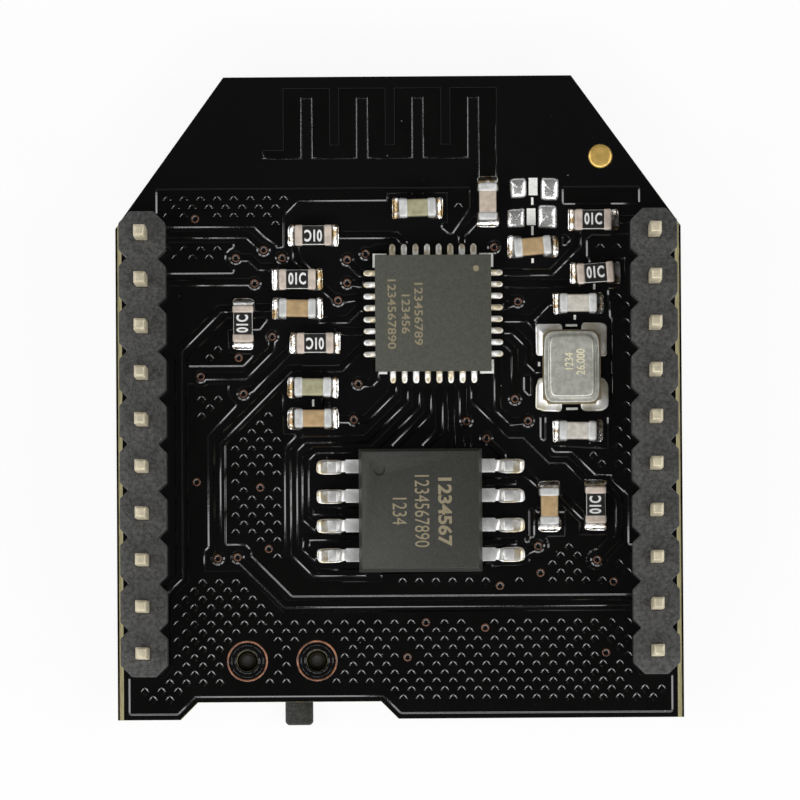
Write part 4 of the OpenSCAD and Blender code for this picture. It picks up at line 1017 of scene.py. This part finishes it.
class MODULE_OT_crystal(bpy.types.Operator):
    """Press the crystal's lid, fire its base and solder its corners"""

    bl_idname = "module.crystal"
    bl_label = "Crystal"

    def execute(self, context):
        softened("crystal_base", ceramic_paint("crystal ceramic", (0.2, 0.16, 0.09)), 0.03 * MM)
        self.lid(metal_paint("crystal lid"))
        shape = Shape()
        rng = np.random.default_rng(23)
        base_low, base_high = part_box("crystal_base")
        middle = (base_low + base_high) / 2
        for a, b in islands("crystal_solder"):
            mid, half = (a + b) / 2, (b - a) / 2
            inward = np.sign([middle.x - mid[0], middle.y - mid[1]])
            neck_mid = mid[:2] + inward * half[:2] * 0.45
            skirt(shape, (mid[0], mid[1], half[0], half[1]), a[2],
                  (*neck_mid, half[0] * 0.6, half[1] * 0.6), b[2] + 0.1 * MM, rng, 0.05 * MM, power=6, lump=0.04)
        shape.piece("crystal_corner_solder", metal_paint("corner solder"),
                    replaces=["crystal_solder"])
        low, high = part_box("crystal_lid")
        rows = [("26.000", -0.4 * MM, 0.52 * MM, 0.8, 0.01), ("1234", 0.1 * MM, 0.5 * MM, 0.8, 0.01)]
        middle = ((low.x + high.x) / 2, (low.y + high.y) / 2 + 0.2 * MM)
        lettering("crystal_numbers", rows, middle, 90, high.z, print_paint("crystal marks", (0.8, 0.74, 0.5)))
        return {"FINISHED"}

    def lid(self, plate):
        """A pressed cap: rings step in from the flange, up a rounded wall and on to the flat top."""
        low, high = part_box("crystal_lid")
        middle, half = (low + high) / 2, (high - low) / 2
        flange, rise = 0.1 * MM, high.z - low.z
        profile = [(0, 0), (0, 0.6), (0.02, 0.95), (0.05, 1), (0.17, 1.0), (0.2, 1.1), (0.22, 2.2), (0.25, 2.75),
                   (0.3, 3), (0.5, 3.0)]
        rings = []
        for inset, up in profile:
            ring = round_ring(half.x - inset * MM, half.y - inset * MM, 7 if inset < 0.2 else 9, 64)
            z = low.z + min(up, 1) * flange + max(up - 1, 0) / 2 * (rise - flange)
            rings.append(np.concatenate([ring + np.array([middle.x, middle.y]), np.full((64, 1), z)], 1))
        shape = Shape()
        shape.shell(np.stack(rings))
        shape.piece("pressed_lid", plate, replaces=["crystal_lid"])


class MODULE_OT_small_parts(bpy.types.Operator):
    """Dress the capacitors and resistors, their end caps and their solder"""

    bl_idname = "module.small_parts"
    bl_label = "Capacitors and resistors"
    ceramics = ("olive", "rose", "tan", "pale", "pale", "tan", "tan", "olive", "tan")
    value_code = [("01C", 0, 0.68 * MM, 0.66, 0.03)]

    def execute(self, context):
        look = context.scene.moulded_look
        shades = {name: ceramic_paint(name + " ceramic", tuple(getattr(look, name)))
                  for name in ("tan", "olive", "rose", "pale")}
        rng = np.random.default_rng(41)
        ends, solder = Shape(), Shape()
        for node, shade in zip(numbered("capacitor_"), self.ceramics):
            lie = lie_of(node)
            self.body(node, lie, shades[shade])
            self.caps(ends, lie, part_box("capacitor_ends")[1].z, rng)
        ends.piece("capacitor_end_caps", metal_paint("end cap tin"), replaces=["capacitor_ends"])
        wraps = Shape()
        alumina = ceramic_paint("alumina", tuple(look.alumina))
        for node in numbered("resistor_"):
            softened(node, alumina, 0.02 * MM, 2)
            self.caps(wraps, lie_of(node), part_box("resistor_ends")[1].z, rng)
        wraps.piece("resistor_end_caps", metal_paint("resistor cap tin"), replaces=["resistor_ends"])
        self.glaze(look)
        for low, high in islands("small_part_solder"):
            self.fillet(solder, low, high, rng)
        solder.piece("small_solder", metal_paint("small solder"),
                     replaces=["small_part_solder"])
        return {"FINISHED"}

    def body(self, node, lie, material):
        shape = Shape()
        pillow(shape, (-lie["half_l"], lie["half_l"]), lie["half_w"], lie["low"], lie["high"], 0.05 * MM,
               placer(lie))
        shape.piece("fired_" + node, material, replaces=[node])

    def caps(self, shape, lie, top_z, rng):
        """Dipped metal caps: blocks with round corners over both ends of the bar."""
        proud = 0.04 * MM
        for side in (-1, 1):
            outer = side * (lie["half_l"] + proud)
            inner = side * (lie["half_l"] + proud - 0.36 * MM * rng.uniform(0.93, 1.07))
            pillow(shape, tuple(sorted((inner, outer))), lie["half_w"] + proud, lie["low"] - proud,
                   max(lie["high"] + proud, top_z if top_z < lie["high"] + 2 * proud else 0), 0.09 * MM,
                   placer(lie), 7)

    def glaze(self, look):
        black = glaze_paint(look)
        white = print_paint("resistor numbers", (0.8, 0.8, 0.78))
        shape = Shape()
        for k, node in enumerate(numbered("resistor_")):
            lie = lie_of(node)
            top = lie["high"] + 0.05 * MM
            half = lie["half_l"] + 0.04 * MM - 0.33 * MM
            pillow(shape, (-half, half), lie["half_w"] - 0.02 * MM, lie["high"] - 0.04 * MM, top, 0.03 * MM,
                   placer(lie), 14)
            turn = math.degrees(math.atan2(lie["along"][1], lie["along"][0]))
            if -4 * MM < lie["middle"][0] < 0:
                turn += 180
            lettering("resistor_number_%d" % (k + 1), self.value_code, lie["middle"], turn, top, white)
        shape.piece("resistor_glaze", black, replaces=["resistor_coats"])

    def fillet(self, shape, low, high, rng):
        """Solder on one pad, which climbs the nearest end of the nearest part."""
        mid, half = (low + high) / 2, (high - low) / 2
        lies = [lie_of(n) for n in numbered("capacitor_") + numbered("resistor_")]
        near = min(lies, key=lambda lie: np.linalg.norm(lie["middle"] - mid[:2]))
        pull = near["middle"] - mid[:2]
        pull /= np.linalg.norm(pull)
        along = 0 if abs(pull[0]) > abs(pull[1]) else 1
        shift = np.zeros(2)
        shift[along] = np.sign(pull[along]) * 0.17 * MM
        neck_half = half[:2] * 0.93
        neck_half[along] = half[along] - 0.19 * MM
        skirt(shape, (mid[0], mid[1], half[0], half[1]), low[2], (*(mid[:2] + shift), *neck_half),
              high[2] + 0.05 * MM, rng, 0.035 * MM, power=6)


class MODULE_OT_switch(bpy.types.Operator):
    """Mould the slide switch, fold its cover and solder its feet"""

    bl_idname = "module.switch"
    bl_label = "Slide switch"

    def execute(self, context):
        black = moulded_paint("switch plastic")
        grey = moulded_paint("lever plastic")
        steel = metal_paint("switch steel")
        bronze = metal_paint("switch bronze")
        softened("switch_housing", black, 0.03 * MM, 2)
        softened("switch_cover", steel, 0.035 * MM, 2)
        softened("switch_slider", grey, 0.05 * MM, 3, SLIDER)
        set_paint(["switch_contact", "switch_terminals"], bronze)
        shape = Shape()
        rng = np.random.default_rng(31)
        for low, high in islands("switch_solder"):
            mid, half = (low + high) / 2, (high - low) / 2
            skirt(shape, (mid[0], mid[1], half[0], half[1]), high[2],
                  (mid[0], mid[1], half[0] * 0.6, half[1] * 0.6), low[2], rng, -0.03 * MM)
        shape.piece("switch_foot_solder", metal_paint("switch solder"),
                    replaces=["switch_solder"])
        return {"FINISHED"}


class MODULE_OT_stage(bpy.types.Operator):
    """Set the floor, the lamps and the camera above the board"""

    bl_idname = "module.stage"
    bl_label = "Stage"
    floor_half = 4.0
    floor_white = 0.92
    aim = Vector((0.043 * MM, -0.12 * MM, FACE_Z))
    camera_off = (1.55 * MM, -14.1 * MM)
    # Each lamp: its place and size in metres, and the look that holds its power. None stands behind the
    # part, so that copper edges which face the back stay dark.
    lamp_rows = {
        "left lamp": ((-0.42, 0.0, 0.36), (0.16, 0.3), "side_lamp"),
        "left front lamp": ((-0.3, -0.3, 0.36), (0.24, 0.16), "front_lamp"),
        "right lamp": ((0.42, 0.0, 0.36), (0.16, 0.3), "side_lamp"),
        "right front lamp": ((0.3, -0.3, 0.36), (0.24, 0.16), "front_lamp"),
        "front lamp": ((0.0, -0.42, 0.36), (0.3, 0.16), "front_lamp"),
    }

    def execute(self, context):
        look = context.scene.stage_look
        self.floor()
        for name, (place, size, power) in self.lamp_rows.items():
            self.lamp(name, place, size, getattr(look, power))
        self.sky(look)
        self.camera(look)
        context.scene.view_settings.view_transform = "Standard"
        return {"FINISHED"}

    def floor(self):
        mesh = bpy.data.meshes.new("floor")
        places = [(x * self.floor_half, y * self.floor_half, 0) for x, y in ((-1, -1), (1, -1), (1, 1), (-1, 1))]
        mesh.from_pydata(places, [], [(0, 1, 2, 3)])
        p = Paint("floor")
        camera, glossy, clear = p.backdrop_rays()
        seen = (camera + glossy + clear).over(0, 1)
        white = p.node("ShaderNodeEmission", None, {"Color": (1, 1, 1), "Strength": 1.0})
        matt = p.node("ShaderNodeBsdfDiffuse", None, {"Color": (0.8, 0.8, 0.8)})
        both = p.node("ShaderNodeMixShader", None, [seen * self.floor_white, matt, white])
        p.node("ShaderNodeOutputMaterial", None, {"Surface": both}, out=None)
        mesh.materials.append(p.material)
        floor = bpy.data.objects.new("floor", mesh)
        bpy.context.scene.collection.objects.link(floor)

    def lamp(self, name, place, size, watts):
        data = bpy.data.lights.new(name, "AREA")
        data.shape = "RECTANGLE"
        data.size, data.size_y = size
        data.energy = watts
        lamp = bpy.data.objects.new(name, data)
        lamp.location = place
        lamp.rotation_euler = (Vector((0, 0, FACE_Z)) - Vector(place)).to_track_quat("-Z", "Y").to_euler()
        bpy.context.scene.collection.objects.link(lamp)

    def sky(self, look):
        """White to the camera and, near the horizon, in mirrors and glass, which stay dark overhead."""
        world = bpy.data.worlds.new("soft sky")
        world.use_nodes = True
        p = Paint.__new__(Paint)
        p.tree = world.node_tree
        camera, glossy, clear = p.backdrop_rays()
        height = p.height_of(p.node("ShaderNodeTexCoord", out="Generated"))
        mirrored = (glossy + clear) * (1 - height.over(0.2, 0.55))
        back = p.tree.nodes["Background"]
        strength = mirrored + look.world * (1 - 0.6 * glossy)
        p.feed(back.inputs["Strength"], camera + (1 - camera) * strength)
        p.feed(back.inputs["Color"], (1, 1, 1))
        bpy.context.scene.world = world

    def camera(self, look):
        """Almost straight above the board, a little to the right and in front, and slightly turned."""
        data = bpy.data.cameras.new("camera")
        data.sensor_width = SENSOR
        camera = bpy.data.objects.new("camera", data)
        place = self.aim + Vector((*self.camera_off, look.camera_height))
        data.lens = SENSOR * (place - self.aim).length / look.view_w
        data.clip_start = 0.01
        back = (place - self.aim).normalized()
        right = Vector((0, 1, 0)).cross(back).normalized()
        facing = Matrix((right, back.cross(right), back)).transposed()
        turn = Matrix.Rotation(math.radians(CAMERA_TURN), 3, "Z")
        camera.matrix_world = Matrix.Translation(place) @ (facing @ turn).to_4x4()
        bpy.context.scene.collection.objects.link(camera)
        bpy.context.scene.camera = camera


class MODULE_PT_panel(bpy.types.Panel):
    """Lists the pieces of the module"""

    bl_idname = "MODULE_PT_panel"
    bl_label = "Radio module"
    bl_space_type = "VIEW_3D"
    bl_region_type = "UI"
    bl_category = "Module"

    def draw(self, context):
        for operator in OPERATORS:
            self.layout.operator(operator.bl_idname)


LOOKS = {"board_look": BoardLook, "metal_look": MetalLook, "moulded_look": MouldedLook, "stage_look": StageLook}
OPERATORS = (MODULE_OT_board, MODULE_OT_ink, MODULE_OT_pads, MODULE_OT_headers, MODULE_OT_wifi_chip,
             MODULE_OT_memory_chip, MODULE_OT_crystal, MODULE_OT_small_parts, MODULE_OT_switch, MODULE_OT_stage)


def register():
    for name, group in LOOKS.items():
        bpy.utils.register_class(group)
        setattr(bpy.types.Scene, name, PointerProperty(type=group))
    for cls in (*OPERATORS, MODULE_PT_panel):
        bpy.utils.register_class(cls)


def unregister():
    for cls in (MODULE_PT_panel, *reversed(OPERATORS)):
        bpy.utils.unregister_class(cls)
    for name, group in LOOKS.items():
        delattr(bpy.types.Scene, name)
        bpy.utils.unregister_class(group)


def main():
    register()
    for operator in OPERATORS:
        group, name = operator.bl_idname.split(".")
        getattr(getattr(bpy.ops, group), name)()


if __name__ == "__main__":
    main()
